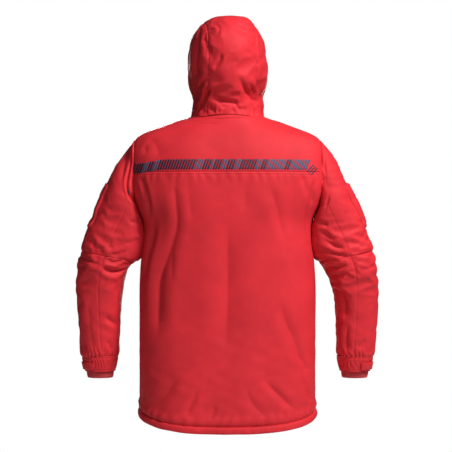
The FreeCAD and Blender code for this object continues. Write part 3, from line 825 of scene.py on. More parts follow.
def sweep(name, centres, normals, ups, half_thick, half_tall, closed=False, corner=2.6, sides=16):
    """A padded band with a rounded section, swept along a line."""
    angles = np.arange(sides) * (2 * PI / sides)
    c, s = superellipse(angles, corner)
    thick = np.broadcast_to(half_thick, len(centres))[:, None, None]
    points = (centres[:, None] + normals[:, None] * c[None, :, None] * thick
              + ups[:, None] * s[None, :, None] * half_tall)
    run = lengths(centres)
    uv = np.stack([np.broadcast_to(run[:, None], points.shape[:2]).ravel(),
                   np.broadcast_to(angles * half_tall, points.shape[:2]).ravel()], axis=1)
    rows = np.concatenate([points, points[:1]]) if closed else points
    if closed:
        uv = np.concatenate([uv, uv[:sides]])
    faces = grid_faces(len(rows), sides, True, False)
    piece = new_object(name, rows.reshape(-1, 3), faces, uv)
    tidy = bmesh.new()
    tidy.from_mesh(piece.data)
    if closed:
        bmesh.ops.remove_doubles(tidy, verts=tidy.verts[:], dist=1e-7)
    else:
        bmesh.ops.holes_fill(tidy, edges=[e for e in tidy.edges if e.is_boundary])
    bmesh.ops.recalc_face_normals(tidy, faces=tidy.faces[:])
    tidy.to_mesh(piece.data)
    tidy.free()
    piece.data.polygons.foreach_set("use_smooth", [True] * len(piece.data.polygons))
    return piece


STITCH_PITCH = 0.0034
STITCH_LENGTH = 0.0023
STITCH_RADIUS = 0.00034


def stitches(name, lines):
    """Rows of topstitching: each line is its points and the surface's normals there."""
    points, faces = [], []
    sides = 5
    shares = (-0.5, -0.36, 0.0, 0.36, 0.5)
    swell = (0.25, 0.85, 1.0, 0.85, 0.25)
    for line, normals in lines:
        run = lengths(line)
        for place in np.arange(STITCH_PITCH / 2, run[-1], STITCH_PITCH):
            at = np.array([np.interp(place, run, line[:, k]) for k in range(3)])
            ahead = np.array([np.interp(place + 0.0005, run, line[:, k]) for k in range(3)]) - at
            up = np.array([np.interp(place, run, normals[:, k]) for k in range(3)])
            if np.linalg.norm(ahead) < 1e-6:
                continue
            ahead /= np.linalg.norm(ahead)
            up /= np.linalg.norm(up)
            aside = np.cross(ahead, up)
            first = len(points) * sides
            for share, fat in zip(shares, swell):
                sink = STITCH_RADIUS * (0.9 if abs(share) > 0.4 else -0.25)
                middle = at + ahead * share * STITCH_LENGTH - up * sink
                ring = [middle + STITCH_RADIUS * fat * (aside * math.cos(a) + up * math.sin(a))
                        for a in np.arange(sides) * (2 * PI / sides)]
                points.append(ring)
            for k in range(len(shares) - 1):
                for i in range(sides):
                    a, b = first + k * sides + i, first + k * sides + (i + 1) % sides
                    faces.append((a, b, b + sides, a + sides))
    flat = np.array(points).reshape(-1, 3)
    piece = new_object(name, flat, np.array(faces), flat[:, [0, 2]])
    tidy = bmesh.new()
    tidy.from_mesh(piece.data)
    bmesh.ops.holes_fill(tidy, edges=[e for e in tidy.edges if e.is_boundary])
    bmesh.ops.recalc_face_normals(tidy, faces=tidy.faces[:])
    tidy.to_mesh(piece.data)
    tidy.free()
    return piece


def snap(tree, points, lift=0.0002):
    """Points moved to the nearest place on a surface, with the normals there."""
    found = [tree.find_nearest(Vector(p)) for p in points]
    normals = np.array([hit[1] for hit in found])
    return np.array([hit[0] for hit in found]) + normals * lift, normals


def rays(tree, x, z, back):
    """Where level rays at each (x, z) meet a surface from behind or in front, and the normals."""
    start_y, way = (0.5, -1.0) if back else (-0.5, 1.0)
    points = np.zeros(x.shape + (3,))
    normals = np.zeros(x.shape + (3,))
    for index in np.ndindex(x.shape):
        hit = lay_on(tree, (x[index], start_y, z[index]), (0.0, way, 0.0))
        if hit is not None:
            points[index], normals[index] = hit
    return points, normals


def edge_distance(x, z, low, high, corner=0.006):
    """How far points are inside a window with rounded corners."""
    dx = np.minimum(x - low[0], high[0] - x)
    dz = np.minimum(z - low[1], high[1] - z)
    inner = np.minimum(dx, dz)
    round_x, round_z = np.clip(corner - dx, 0.0, None), np.clip(corner - dz, 0.0, None)
    rounded = corner - np.hypot(round_x, round_z)
    return np.where((dx < corner) & (dz < corner), rounded, inner)


def layer_places(piece):
    """How far along its skin each point of a layer cut from that skin is."""
    mesh = piece.data
    corners = np.zeros(len(mesh.loops), np.int32)
    mesh.loops.foreach_get("vertex_index", corners)
    pairs = np.zeros(2 * len(corners), np.float32)
    mesh.uv_layers["cloth"].data.foreach_get("uv", pairs)
    found = np.zeros(len(mesh.vertices))
    found[corners] = pairs[1::2]
    return found


def bend_with(piece, places):
    """Bake the piece's placement into its mesh. The places are not used."""
    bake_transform(piece)


# ------------------------------------------------------------------ body

def fold_torso(torso):
    """All the relief of the torso's shell: folds, seams, gathers and soft unevenness."""
    for route, width, depth, side in BACK_FOLDS:
        torso.fold(route, width, depth, back=True, side=side)
    for route, width, depth, side in FRONT_FOLDS:
        torso.fold(route, width, depth, back=False, side=side)
    points = torso.points
    x, y, z = points[..., 0], points[..., 1], points[..., 2]
    behind = smooth((y - 0.0) / 0.02)
    torso.offset += 0.0013 * ripples(points * [1.0, 1.0, 0.30], 0.11, 3)
    torso.offset += 0.0003 * ripples(points, 0.035, 4) * (0.4 + smooth((-0.45 - z) / 0.2))
    torso.offset += seam_groove(z - YOKE_SEAM_Z) * behind
    below = np.clip(YOKE_SEAM_Z - z, 0.0, None)
    pucker = np.sin(torso.u * 2 * PI / 0.021 + 2.0 * ripples(points, 0.06, 5))
    torso.offset += 0.0007 * pucker * bell(below - 0.012, 0.012) * behind * (z < YOKE_SEAM_Z)
    torso.offset += seam_groove(y, 0.0014) * (np.abs(x) > 0.17) * smooth((-0.19 - z) / 0.03)
    near_armhole = smooth((z + 0.225) / 0.02) * (1.0 - smooth((ARMHOLE_X - np.abs(x)) / 0.014))
    torso.offset *= 1.0 - 0.9 * near_armhole
    at_armhole = smooth((z + 0.225) / 0.02) * (np.abs(x) > 0.19)
    torso.offset += seam_groove(ARMHOLE_X - np.abs(x), 0.0018, 0.0030) * at_armhole
    torso.offset *= smooth((torso.v.max() - torso.v) / 0.012)
    hem = torso.v - HEM_BAND
    gather = np.sin(torso.u * 2 * PI / 0.026 + 2.5 * ripples(points, 0.09, 6))
    torso.offset += 0.0011 * gather * bell(hem - 0.016, 0.016) - 0.0030 * bell(hem, 0.0045)
    torso.offset += 0.0020 * bell(hem - 0.016, 0.012)
    torso.offset[:] = np.clip(torso.offset, -0.0105, 0.0070)


def cut_panel(name, master, planes):
    """A copy of a master skin, trimmed by planes and given its thickness."""
    piece = bpy.data.objects.new(name, master.data.copy())
    bpy.context.scene.collection.objects.link(piece)
    for point, normal in planes:
        trim(piece, point, normal)
    thicken(piece, SHELL_THICK)
    return piece


def armhole_planes():
    return [((side * ARMHOLE_X, 0, 0), (side, 0, 0)) for side in (1, -1)]


def make_body(torso):
    """The shell panels, and the surfaces that trim is laid on."""
    first = int(np.argmin(np.abs(torso.v[:, 0] - (HEM_BAND - 0.002))))
    master = skin_object("torso_master", torso, torso.surface(), rows=slice(first, None))
    rear = ((0, 0.0001, 0), (0, -1, 0))
    fore = ((0, -0.0001, 0), (0, 1, 0))
    panels = {
        "back_yoke": [rear, ((0, 0, YOKE_SEAM_Z), (0, 0, -1))],
        "back_panel": [rear, ((0, 0, YOKE_SEAM_Z), (0, 0, 1))],
        "front_panel_left": [fore, ((PANEL_EDGE, 0, 0), (-1, 0, 0))],
        "front_panel_right": [fore, ((-PANEL_EDGE, 0, 0), (1, 0, 0))],
    }
    made = {}
    for name, planes in panels.items():
        piece = cut_panel(name + "_shell", master, planes + armhole_planes())
        made[name] = dress(piece, SHELL, "shell", name, body="torso")
    bpy.data.objects.remove(master)
    return made


QUILT_PITCH = 0.08


def make_body_inner(torso):
    """The quilted wadding and lining behind the shell."""
    wadding = skin_object("torso_wadding", torso, torso.surface(0.0042, 0.9))
    coarse = Skin(torso.points[::2, ::2], torso.u[::2, ::2], torso.v[::2, ::2])
    coarse.offset = torso.offset[::2, ::2]
    rising = np.abs((coarse.u + coarse.v) % QUILT_PITCH - QUILT_PITCH / 2)
    falling = np.abs((coarse.u - coarse.v) % QUILT_PITCH - QUILT_PITCH / 2)
    coarse.offset = 0.6 * coarse.offset - 0.0022 * smooth(np.minimum(rising, falling) / 0.02)
    lining = skin_object("torso_lining", coarse, coarse.surface(0.0105))
    for piece in (wadding, lining):
        for plane in armhole_planes():
            trim(piece, *plane)
    layers = ((wadding, "body_insulation", WADDING, "insulation", 0.016, 0.0022),
              (lining, "body_lining", LINING, "lining", 0.0105, 0.0010))
    for piece, node, look, slot, edge, thickness in layers:
        mesh = bmesh.new()
        mesh.from_mesh(piece.data)
        for x in (edge, -edge):
            everything = mesh.verts[:] + mesh.edges[:] + mesh.faces[:]
            bmesh.ops.bisect_plane(mesh, geom=everything, plane_co=(x, 0, 0), plane_no=(1, 0, 0), dist=1e-6)
        centres = [(face, face.calc_center_median()) for face in mesh.faces]
        cut_away = [face for face, at in centres
                    if (abs(at.x) < edge and at.y < 0) or at.z < hem_z(at.y) + 0.012]
        bmesh.ops.delete(mesh, geom=cut_away, context="FACES")
        mesh.to_mesh(piece.data)
        mesh.free()
        thicken(piece, thickness)
        piece.name = node + "_layer"
        dress(piece, look, slot, node, body="torso")


def make_hem(torso):
    """The rolled hem, gathered a little by its stitching."""
    row = int(np.argmin(np.abs(torso.v[:, 0] - HEM_BAND / 2)))
    surface = torso.surface(0.0, 0.6)
    columns = np.where((np.abs(surface[row, :, 0]) > PANEL_EDGE) | (surface[row, :, 1] > 0))[0]
    centres = surface[row, columns]
    normals = torso.normals[row, columns]
    ups = surface[row + 2, columns] - surface[row - 2, columns]
    ups /= np.linalg.norm(ups, axis=1, keepdims=True)
    rough = ripples(centres, 0.018, 8)
    centres = centres - normals * 0.0004 + ups * (0.0004 * ripples(centres, 0.05, 9))[:, None]
    band = sweep("hem_roll", centres, normals, ups, 0.0040 + 0.00035 * rough, 0.0086)
    dress(band, SHELL, "shell", "hem_band", body="torso")


TAPE_TALL = 0.025
TAPE_Z = -0.1115
TAPE_DIP = 0.0085
STRIPE_PITCH = 0.0064
STRIPE_WIDE = 0.0047
STRIPE_LEAN = 0.0090
TAPE_RISE = 0.0004
# runs of dark and light stripes across the back, from the wearer's left
STRIPE_RUNS = [4, 2, 2, 2, 14, 3, 3, 1, 3, 2, 3, 2, 6, 2, 2, 7, 2, 7]


def stripe(tree, low, high, wide):
    """One slanting stripe of transfer film from its foot to its top, laid on the cloth."""
    up = np.linspace(0.0, 1.0, 13)[:, None]
    across = np.linspace(-0.5, 0.5, 4)[None, :]
    x = low[0] + (high[0] - low[0]) * up + wide * across
    z = low[1] + (high[1] - low[1]) * up + 0.0 * across
    points, normals = rays(tree, x, z, back=True)
    return points + normals * TAPE_RISE, points - normals * TAPE_RISE


def make_tape(body):
    tree = tree_of(body["back_yoke"], body["back_panel"])
    x = 0.2285
    parts = []
    for k, count in enumerate(STRIPE_RUNS):
        for _ in range(count):
            middle = TAPE_Z - TAPE_DIP * float(smooth((x - 0.150) / 0.075))
            low = (x + STRIPE_LEAN / 2, middle - TAPE_TALL / 2)
            high = (x - STRIPE_LEAN / 2, middle + TAPE_TALL / 2)
            parts.append((*stripe(tree, low, high, STRIPE_WIDE), k % 2))
            x -= STRIPE_PITCH
    for k in range(3):
        foot = x + STRIPE_LEAN / 2 - k * 0.0046
        drop = 0.004 + 0.0040 * k
        low = (foot + 0.002, TAPE_Z - TAPE_TALL / 2 - drop)
        high = (foot - 0.013, TAPE_Z + TAPE_TALL / 2 - 0.008 - drop)
        parts.append((*stripe(tree, low, high, STRIPE_WIDE * 0.8), 0))
    piece = slabs("reflective_tape_stripes", parts)
    looks = [p.material_index for p in piece.data.polygons]
    dress(piece, STRIPE_DARK, "reflective_tape", "back_reflective_tape", body="torso")
    piece.data.materials.append(STRIPE_LIGHT)
    piece.data.polygons.foreach_set("material_index", looks)


# ------------------------------------------------------------------ collar and hood

def make_collar():
    """The padded collar stand inside the hood, its lining, the blank label and the hanger loop."""
    rows = np.array([(0.004, 0.0955, 0.0795)] + COLLAR_ROWS)
    at = steps_between(rows[0, 0], rows[-1, 0], 0.0022)
    z, half, back = hermite(rows[:, 0], rows, at).T
    fine = np.linspace(-0.5 * PI, 1.5 * PI, 281)
    c, s = superellipse(fine, 2.0)
    front = front_y(z)
    x = half[:, None] * c
    y = ((front + back) / 2)[:, None] + ((back - front) / 2)[:, None] * s
    points = np.stack([x, y, np.broadcast_to(z[:, None], x.shape)], axis=2)
    u = np.broadcast_to(fine * 0.085, x.shape).copy()
    v = np.broadcast_to(at[:, None], x.shape).copy()
    skin = Skin(points, u, v)
    skin.offset += 0.0004 * ripples(points, 0.03, 12) - 0.0016 * bell(v - 0.036, 0.0022)
    skin.offset -= 0.0022 * bell(v - 0.060, 0.0030)
    first = int(np.searchsorted(x[0, :141], PANEL_EDGE))
    open_front = slice(first, len(fine) - first)
    outer = skin_object("collar_shell", skin, skin.surface(), columns=open_front)
    thicken(outer, 0.0024)
    dress(outer, SHELL, "shell", "collar_outer", body="torso")
    lining = skin_object("collar_inside", skin, skin.surface(0.0029, 0.5), columns=open_front)
    thicken(lining, 0.0014)
    dress(lining, LINING, "lining", "collar_lining", body="torso")
    wall = tree_of(lining)
    label_x, label_z = np.meshgrid(np.linspace(-0.026, 0.026, 27), np.linspace(0.036, 0.054, 10))
    places, normals = rays_from_inside(wall, label_x, label_z)
    label = slabs("neck_label_patch", [(places + normals * 0.0008, places + normals * 0.0001, 0)])
    dress(label, LABEL, "label", "neck_label", body="torso")
    route = np.array([(-0.024, 0.0675, 0.022), (-0.0265, 0.0600, 0.022), (-0.0240, 0.0530, 0.0215),
                      (-0.0120, 0.0505, 0.0212), (0.0, 0.0500, 0.0210), (0.0120, 0.0505, 0.0212),
                      (0.0240, 0.0530, 0.0215), (0.0265, 0.0600, 0.022), (0.024, 0.0675, 0.022)])
    line = hermite(lengths(route), route, np.linspace(0.0, lengths(route)[-1], 70))
    ahead = np.gradient(line, axis=0)
    up = np.broadcast_to([0.0, 0.0, 1.0], line.shape)
    side = np.cross(ahead, up)
    side /= np.linalg.norm(side, axis=1, keepdims=True)
    loop = sweep("hanger_strap", line, side, up, 0.0008, 0.0040, corner=4.0)
    dress(loop, LOOP, "loop", "hanger_loop", body="torso")
    return outer


def rays_from_inside(tree, x, z):
    """Where level rays from the middle of the neck meet its back wall, and the normals."""
    points = np.zeros(x.shape + (3,))
    normals = np.zeros(x.shape + (3,))
    for index in np.ndindex(x.shape):
        hit = lay_on(tree, (x[index], 0.0, z[index]), (0.0, 1.0, 0.0))
        if hit is not None:
            points[index], normals[index] = hit
    return points, normals


def strip_distance(points):
    """How far points are outside the hood's turned centre strip, negative inside it."""
    across = points[..., 0] * math.cos(HOOD_TURN) + points[..., 1] * math.sin(HOOD_TURN)
    return np.abs(across) - HOOD_STRIP_HALF


def fold_hood(hood):
    for route, width, depth, back in HOOD_FOLDS:
        hood.fold(route, width, depth, back=back)
    points = hood.points
    hood.offset += 0.0018 * ripples(points, 0.085, 21) * smooth((hood.v - 0.01) / 0.05)
    crumple = np.abs(ripples(points, 0.050, 22))
    hood.offset += 0.0016 * (0.8 - crumple) * smooth((hood.v - 0.01) / 0.04)
    hood.offset += seam_groove(strip_distance(points), 0.0022, 0.0018, 0.005)
    gather = np.sin(hood.u * 2 * PI / 0.015 + 3.2 * ripples(points, 0.05, 23))
    hood.offset += 0.0009 * gather * bell(hood.v - 0.012, 0.010)
    hood.offset *= smooth(hood.v / 0.008)
    crown = smooth((0.2645 - points[..., 2]) / 0.012)
    hood.offset *= crown
    hood.offset[:] = np.clip(hood.offset, -0.0135, 0.0060)
    seams = [bell(hood.v, 0.008), bell(hood.v - hood.v.max(), 0.020), bell(strip_distance(points), 0.0025)]
    wrinkle("hood_wrinkles", hood, seams, 0.020, 0.0032)


def face_y(z):
    return FACE_AT_ORIGIN + FACE_SLOPE * z


def make_hood(hood):
    """Centre strip, two sides, the bound face edge and the lining."""
    master = skin_object("hood_master", hood, hood.surface())
    rim_tree = tree_of(master)
    lean = math.hypot(1.0, FACE_SLOPE)
    face = ((0, FACE_AT_ORIGIN + 0.004, 0), (0, -1 / lean, FACE_SLOPE / lean))
    across = (math.cos(HOOD_TURN), math.sin(HOOD_TURN), 0)
    left = tuple(HOOD_STRIP_HALF * a for a in across)
    right = tuple(-HOOD_STRIP_HALF * a for a in across)
    back_way = tuple(-a for a in across)
    panels = {"hood_centre_panel": [(left, across), (right, back_way)],
              "hood_side_left": [(left, back_way)], "hood_side_right": [(right, across)]}
    made = []
    for name, planes in panels.items():
        piece = cut_panel(name + "_shell", master, planes + [face])
        dress(piece, SHELL, "shell", name)
        made.append(piece)
    bpy.data.objects.remove(master)
    coarse = Skin(hood.points[::2, ::2], hood.u[::2, ::2], hood.v[::2, ::2], closed=True)
    coarse.offset = 0.5 * hood.offset[::2, ::2]
    lining = skin_object("hood_inside", coarse, coarse.surface(0.0085))
    trim(lining, *face)
    thicken(lining, 0.0010)
    dress(lining, LINING, "lining", "hood_lining")
    made.append(lining)
    rim = []
    outward = []
    middle_z = 0.130
    for angle in np.linspace(math.radians(-51.5), math.radians(231.5), 240):
        way = np.array([math.cos(angle), FACE_SLOPE * math.sin(angle), math.sin(angle)])
        hit = lay_on(rim_tree, (0.0, face_y(middle_z) + 0.0035, middle_z), way)
        if hit is not None:
            rim.append(hit[0])
            outward.append(way / np.linalg.norm(way))
    rim, outward = np.array(rim), np.array(outward)
    ahead = np.gradient(rim, axis=0)
    ups = np.cross(ahead, outward)
    ups /= np.linalg.norm(ups, axis=1, keepdims=True)
    normals = np.cross(ups, ahead)
    normals /= np.linalg.norm(normals, axis=1, keepdims=True)
    centres = rim - normals * 0.0016 + ups * (0.0003 * ripples(rim, 0.02, 31))[:, None]
    binding = sweep("hood_edge_roll", centres, normals, ups, 0.0030, 0.0046)
    dress(binding, SHELL, "binding", "hood_edge_binding")
    made.append(binding)
    return made


# ------------------------------------------------------------------ sleeves

SEAM_SHARE = 0.5
# how much deeper than elsewhere the inner layers lie at the armhole and the elbow, so that a bend hides them
UNDERARM_ROOM = 0.5
ELBOW_ROOM = 0.5
# the height where the elbow part of the sleeve ends
ELBOW_END_Z = -0.490
# the seam along the back of each sleeve, as (x, z)
SLEEVE_SEAM = [(0.242, -0.196), (0.277, -0.275), (0.308, -0.349),
               (0.320, -0.442), (0.318, -0.530), (0.314, -0.583)]


def sleeve_marks():
    """Places along the sleeve: the elbow seam, the elbow's end, the cuff's top and bottom, the wrist."""
    rows = np.array(SLEEVE_ROWS)
    keys = sleeve_keys()
    seam = keys[4] + SEAM_SHARE * (keys[5] - keys[4])
    heights = (rows[:, 1] + rows[:, 3]) / 2

    def at(z):
        return float(np.interp(-z, -heights, keys))

    return {"seam": seam, "elbow_end": at(ELBOW_END_Z), "cuff_top": at(-0.588), "cuff_end": at(-0.625),
            "inner_top": at(-0.600), "inner_end": at(-0.643), "end": keys[-1]}


def fold_sleeve(skin, side, marks):
    for route, width, depth, back in SLEEVE_FOLDS[side]:
        skin.fold(route, width, depth, back=back)
    points = skin.points
    skin.offset += 0.0016 * ripples(points * [1.0, 1.0, 0.6], 0.080, 40 + side)
    creases = 0.8 - np.abs(ripples(points * [0.7, 0.7, 1.4], 0.050, 50 + side))
    bent = bell(skin.v - marks["seam"] - 0.02, 0.10)
    skin.offset += 0.0020 * creases * (0.35 + 0.65 * bent)
    skin.offset *= 0.1 + 0.9 * smooth(skin.v / 0.014)
    skin.offset += seam_groove(skin.v, 0.0022, 0.0030, 0.5)
    outer_half = smooth((np.cos(skin.u / skin.girth * 2 * PI) + 0.25) / 0.3)
    skin.offset += seam_groove(skin.v - marks["seam"], 0.0020, 0.0018) * (0.35 + 0.65 * outer_half)
    skin.fold([(side * x, z) for x, z in SLEEVE_SEAM], 0.0016, 0.0015, fade=0.03, lip=0.2)
    cuff = marks["cuff_top"] - skin.v
    gather = np.sin(skin.u * 2 * PI / 0.0170 + 4.5 * ripples(points, 0.05, 60 + side))
    skin.offset += 0.0013 * gather * bell(cuff - 0.004, 0.018) + 0.0012 * bell(cuff - 0.014, 0.012)
    skin.offset -= 0.0016 * bell(cuff, 0.004)
    skin.offset[:] = np.clip(skin.offset, -0.0100, 0.0065)


def row_range(skin, low, high):
    first = int(np.argmin(np.abs(skin.v[:, 0] - low)))
    last = int(np.argmin(np.abs(skin.v[:, 0] - high)))
    return slice(first, last + 1)


def make_sleeve(side, name):
    """Shell, wadding and lining of one sleeve, in an upper and a lower length."""
    marks = sleeve_marks()
    skin = sleeve_skin(side)
    fold_sleeve(skin, side, marks)
    seams = [bell(skin.v - at, 0.006) for at in (0.0, marks["seam"], marks["cuff_top"], marks["end"])]
    bent = bell(skin.v - marks["seam"], 0.075)
    wrinkle("sleeve_wrinkles", skin, seams, 0.035, 0.0045, 0.40 + 0.50 * bent)
    inner_side = smooth(-np.cos(skin.u / skin.girth * 2 * PI) / 0.5 - 0.6)
    beside_torso = inner_side * (1.0 - smooth(skin.v / 0.03 - 6.0))
    skin.offset += beside_torso * np.clip(-skin.offset, 0.0, None)
    runs = (("upper", 0.0, marks["seam"]), ("lower", marks["seam"], marks["cuff_top"] + 0.001))
    layers = (("shell", 0.0, 1.0, SHELL_THICK, 1), ("wadding", 0.0040, 0.9, 0.0020, 2),
              ("inside", 0.0092, 0.6, 0.0010, 2))
    nodes = {("upper", "shell"): ["upper_sleeve_"], ("lower", "shell"): ["elbow_section_", "forearm_sleeve_"],
             ("upper", "wadding"): ["upper_sleeve_insulation_"],
             ("lower", "wadding"): ["forearm_insulation_"],
             ("upper", "inside"): ["upper_sleeve_lining_"], ("lower", "inside"): ["forearm_lining_"]}
    looks = {"shell": (SHELL, "shell"), "wadding": (WADDING, "insulation"), "inside": (LINING, "lining")}
    shells = {}
    for run, low, high in runs:
        for layer, inset, share, thickness, step in layers:
            fine = row_range(skin, low, high)
            rows = slice(fine.start, fine.stop, step)
            thin = Skin(skin.points[rows, ::step], skin.u[rows, ::step], skin.v[rows, ::step],
                        closed=True, mirror=side > 0)
            thin.offset = skin.offset[rows, ::step]
            room = UNDERARM_ROOM * bell(thin.v, 0.12) + ELBOW_ROOM * bell(thin.v - marks["seam"], 0.04)
            inset_here = inset * (1.0 + room)
            piece = skin_object("%s_sleeve_%s_%s" % (run, layer, name), thin, thin.surface(inset_here, share))
            thicken(piece, thickness)
            look, slot = looks[layer]
            dress(piece, look, slot, *[node + name for node in nodes[run, layer]])
            if run == "upper":
                bend_with(piece, layer_places(piece))
            else:
                bend_with(piece, layer_places(piece))
            if layer == "shell":
                shells[run] = piece
    make_cuff(side, name, marks)
    make_sleeve_pocket(name, skin)
    return skin, shells, marks


def make_cuff(side, name, marks):
    """The gathered cuff with its elastic, the knitted inner cuff and the strap tab."""
    lower = "forearm_" + name
    cuff = sleeve_skin(side, marks["cuff_top"] - 0.002, marks["cuff_end"], 0.0011, 300)
    share = (cuff.v - cuff.v.min()) / (cuff.v.max() - cuff.v.min())
    gather = np.sin(cuff.u * 2 * PI / 0.0150 + 4.5 * ripples(cuff.points, 0.05, 70 + side))
    uneven = 0.4 + 0.6 * smooth(ripples(cuff.points, 0.05, 72 + side) + 0.5)
    cuff.offset += 0.0009 * gather * uneven * (0.3 + 0.7 * np.sin(share * PI))
    for line in (0.10, 0.92):
        cuff.offset -= 0.0009 * bell(share - line, 0.06)
    band = skin_object("cuff_gathered_" + name, cuff, cuff.surface(0.0))
    thicken(band, 0.0028)
    dress(band, SHELL, "shell", "cuff_band_" + name, body=lower)
    knit = sleeve_skin(side, marks["inner_top"], marks["inner_end"], 0.0016, 480)
    ribs = 80
    knit.offset += 0.0006 * np.cos(knit.u / knit.girth * 2 * PI * ribs)
    knit.offset -= 0.0009 * bell(knit.v - knit.v.max(), 0.003)
    inner = skin_object("inner_cuff_knit_" + name, knit, knit.surface(0.0045))
    thicken(inner, 0.0018)
    dress(inner, RIBBING, "ribbing", "inner_cuff_" + name, body=lower)
    ring = sleeve_skin(side, marks["cuff_top"], marks["cuff_end"], 0.0010, 300)
    z_mid = ring.points[..., 2].mean(axis=1)
    rows = np.where((z_mid > -0.620) & (z_mid < -0.600))[0]
    low_angle, high_angle = 15.0, 75.0
    columns = np.arange(int(low_angle / 360 * 300), int(high_angle / 360 * 300) + 1)
    grid = ring.points[rows][:, columns]
    normals = ring.normals[rows][:, columns]
    across = lengths(grid[len(rows) // 2])[None, :]
    along = lengths(grid[:, len(columns) // 2])[:, None]
    edge = edge_distance(across + 0 * along, along + 0 * across, (0.0, 0.0), (across.max(), along.max()))
    rise = 0.0030 - 0.0012 * bell(edge, 0.0016) - 0.0005 * bell(edge - 0.0032, 0.0009)
    top = grid + normals * (0.0012 + rise)[..., None]
    tab = slabs("cuff_strap_" + name, [(top, grid + normals * 0.0014, 0)])
    dress(tab, SHELL, "tab", "cuff_tab_" + name)
    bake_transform(tab)


def make_sleeve_pocket(name, skin):
    """The slim pocket on the outside of the upper sleeve."""
    z = skin.points[..., 2]
    low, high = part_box("sleeve_pocket_" + name)
    half = (high.y - low.y) / 2
    columns = np.arange(-17, 18) % skin.points.shape[1]
    rows = np.where((z[:, 0] < high.z) & (z[:, 0] > low.z))[0]
    grid = skin.surface(0.0, 0.8)[rows][:, columns]
    normals = skin.normals[rows][:, columns]
    across = (np.arange(len(columns)) / (len(columns) - 1) * 2 * half)[None, :]
    along = (skin.v[rows, 0] - skin.v[rows[0], 0])[:, None]
    edge = edge_distance(across + 0 * along, along + 0 * across, (0.0, 0.0), (2 * half, along.max()), 0.008)
    rise = 0.0052 * np.sqrt(np.clip(1.0 - (1.0 - np.clip(edge / 0.006, 0.0, 1.0)) ** 2, 0.0, 1.0))
    rise -= 0.0009 * bell(edge - 0.0085, 0.0014)
    rise -= 0.0016 * bell(along - 0.030, 0.0016) * (edge > 0.004)
    rise += 0.0006 * ripples(grid, 0.03, 80)
    top = grid + normals * (rise - 0.0006)[..., None]
    pocket = slabs("sleeve_pocket_patch_" + name, [(top, grid - normals * 0.0010, 0)])
    dress(pocket, SHELL, "shell", "sleeve_pocket_" + name)
    places = np.tile(skin.v[rows][:, columns].ravel(), 2)
    bend_with(pocket, places)


# ------------------------------------------------------------------ fronts

def make_pockets(body):
    """Patch pockets with padded flaps on both fronts."""
    for name in ("left", "right"):
        tree = tree_of(body["front_panel_" + name])
        for kind, rise_full in (("chest", 0.0055), ("lower", 0.0068)):
            node = "%s_pocket_%s" % (kind, name)
            low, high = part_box(node)
            x, z = np.meshgrid(steps_between(low.x, high.x, 0.0022), steps_between(low.z, high.z, 0.0022))
            points, normals = rays(tree, x, z, back=False)
            edge = edge_distance(x, z, (low.x, low.z), (high.x, high.z), 0.012)
            arch = np.sqrt(np.clip(1.0 - (1.0 - np.clip(edge / 0.010, 0.0, 1.0)) ** 2, 0.0, 1.0))
            rise = rise_full * arch - 0.0010 * bell(edge - 0.013, 0.0014) - 0.0006
            rise += 0.0007 * ripples(points, 0.05, 90) * arch
            top = points + normals * rise[..., None]
            patch = slabs(node + "_patch", [(top, points - normals * 0.0012, 0)])
            dress(patch, SHELL, "shell", node, body="torso")
            make_flap(name, kind, tree)


def make_flap(name, kind, tree):
    node = "%s_flap_%s" % (kind, name)
    low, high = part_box(node)
    x, z = np.meshgrid(steps_between(low.x, high.x, 0.0020), steps_between(low.z, high.z, 0.0020))
    points, normals = rays(tree, x, z, back=False)
    edge = edge_distance(x, z, (low.x, low.z), (high.x, high.z), 0.010)
    wave = 0.0006 * ripples(points, 0.05, 95)
    top = 0.0104 - 0.0014 * bell(edge, 0.0018) - 0.0007 * bell(edge - 0.0065, 0.0014) + wave
    bottom = 0.0076 + 0.0006 * bell(edge, 0.0018) + wave
    sewn = smooth((high.z - z) / 0.006)
    top = top * sewn + 0.0082 * (1.0 - sewn)
    corner = np.clip(-edge, 0.0, None)[..., None]
    centre = np.array([(low.x + high.x) / 2, 0.0, (low.z + high.z) / 2])
    inward = (centre - points) * [1.0, 0.0, 1.0]
    inward /= np.linalg.norm(inward, axis=2, keepdims=True)
    points = points + inward * corner
    outside = points + normals * top[..., None]
    inside = points + normals * bottom[..., None]
    flap = slabs(node + "_cover", [(outside, inside, 0)])
    dress(flap, SHELL, "shell", node)
    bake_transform(flap)


def zip_point(x, s, rise):
    """A point from the zip's own frame: across, up the zip, and out from the teeth."""
    angle = -math.atan(FRONT_SLOPE)
    y = -rise * math.cos(angle) - s * math.sin(angle)
    z = -rise * math.sin(angle) + s * math.cos(angle)
    return np.stack(np.broadcast_arrays(x, y + FRONT_AT_ORIGIN + ZIP_DEPTH, z), axis=-1)


# how far the storm flap's long edges lie down on the fronts
FLAP_DROOP = 0.0034


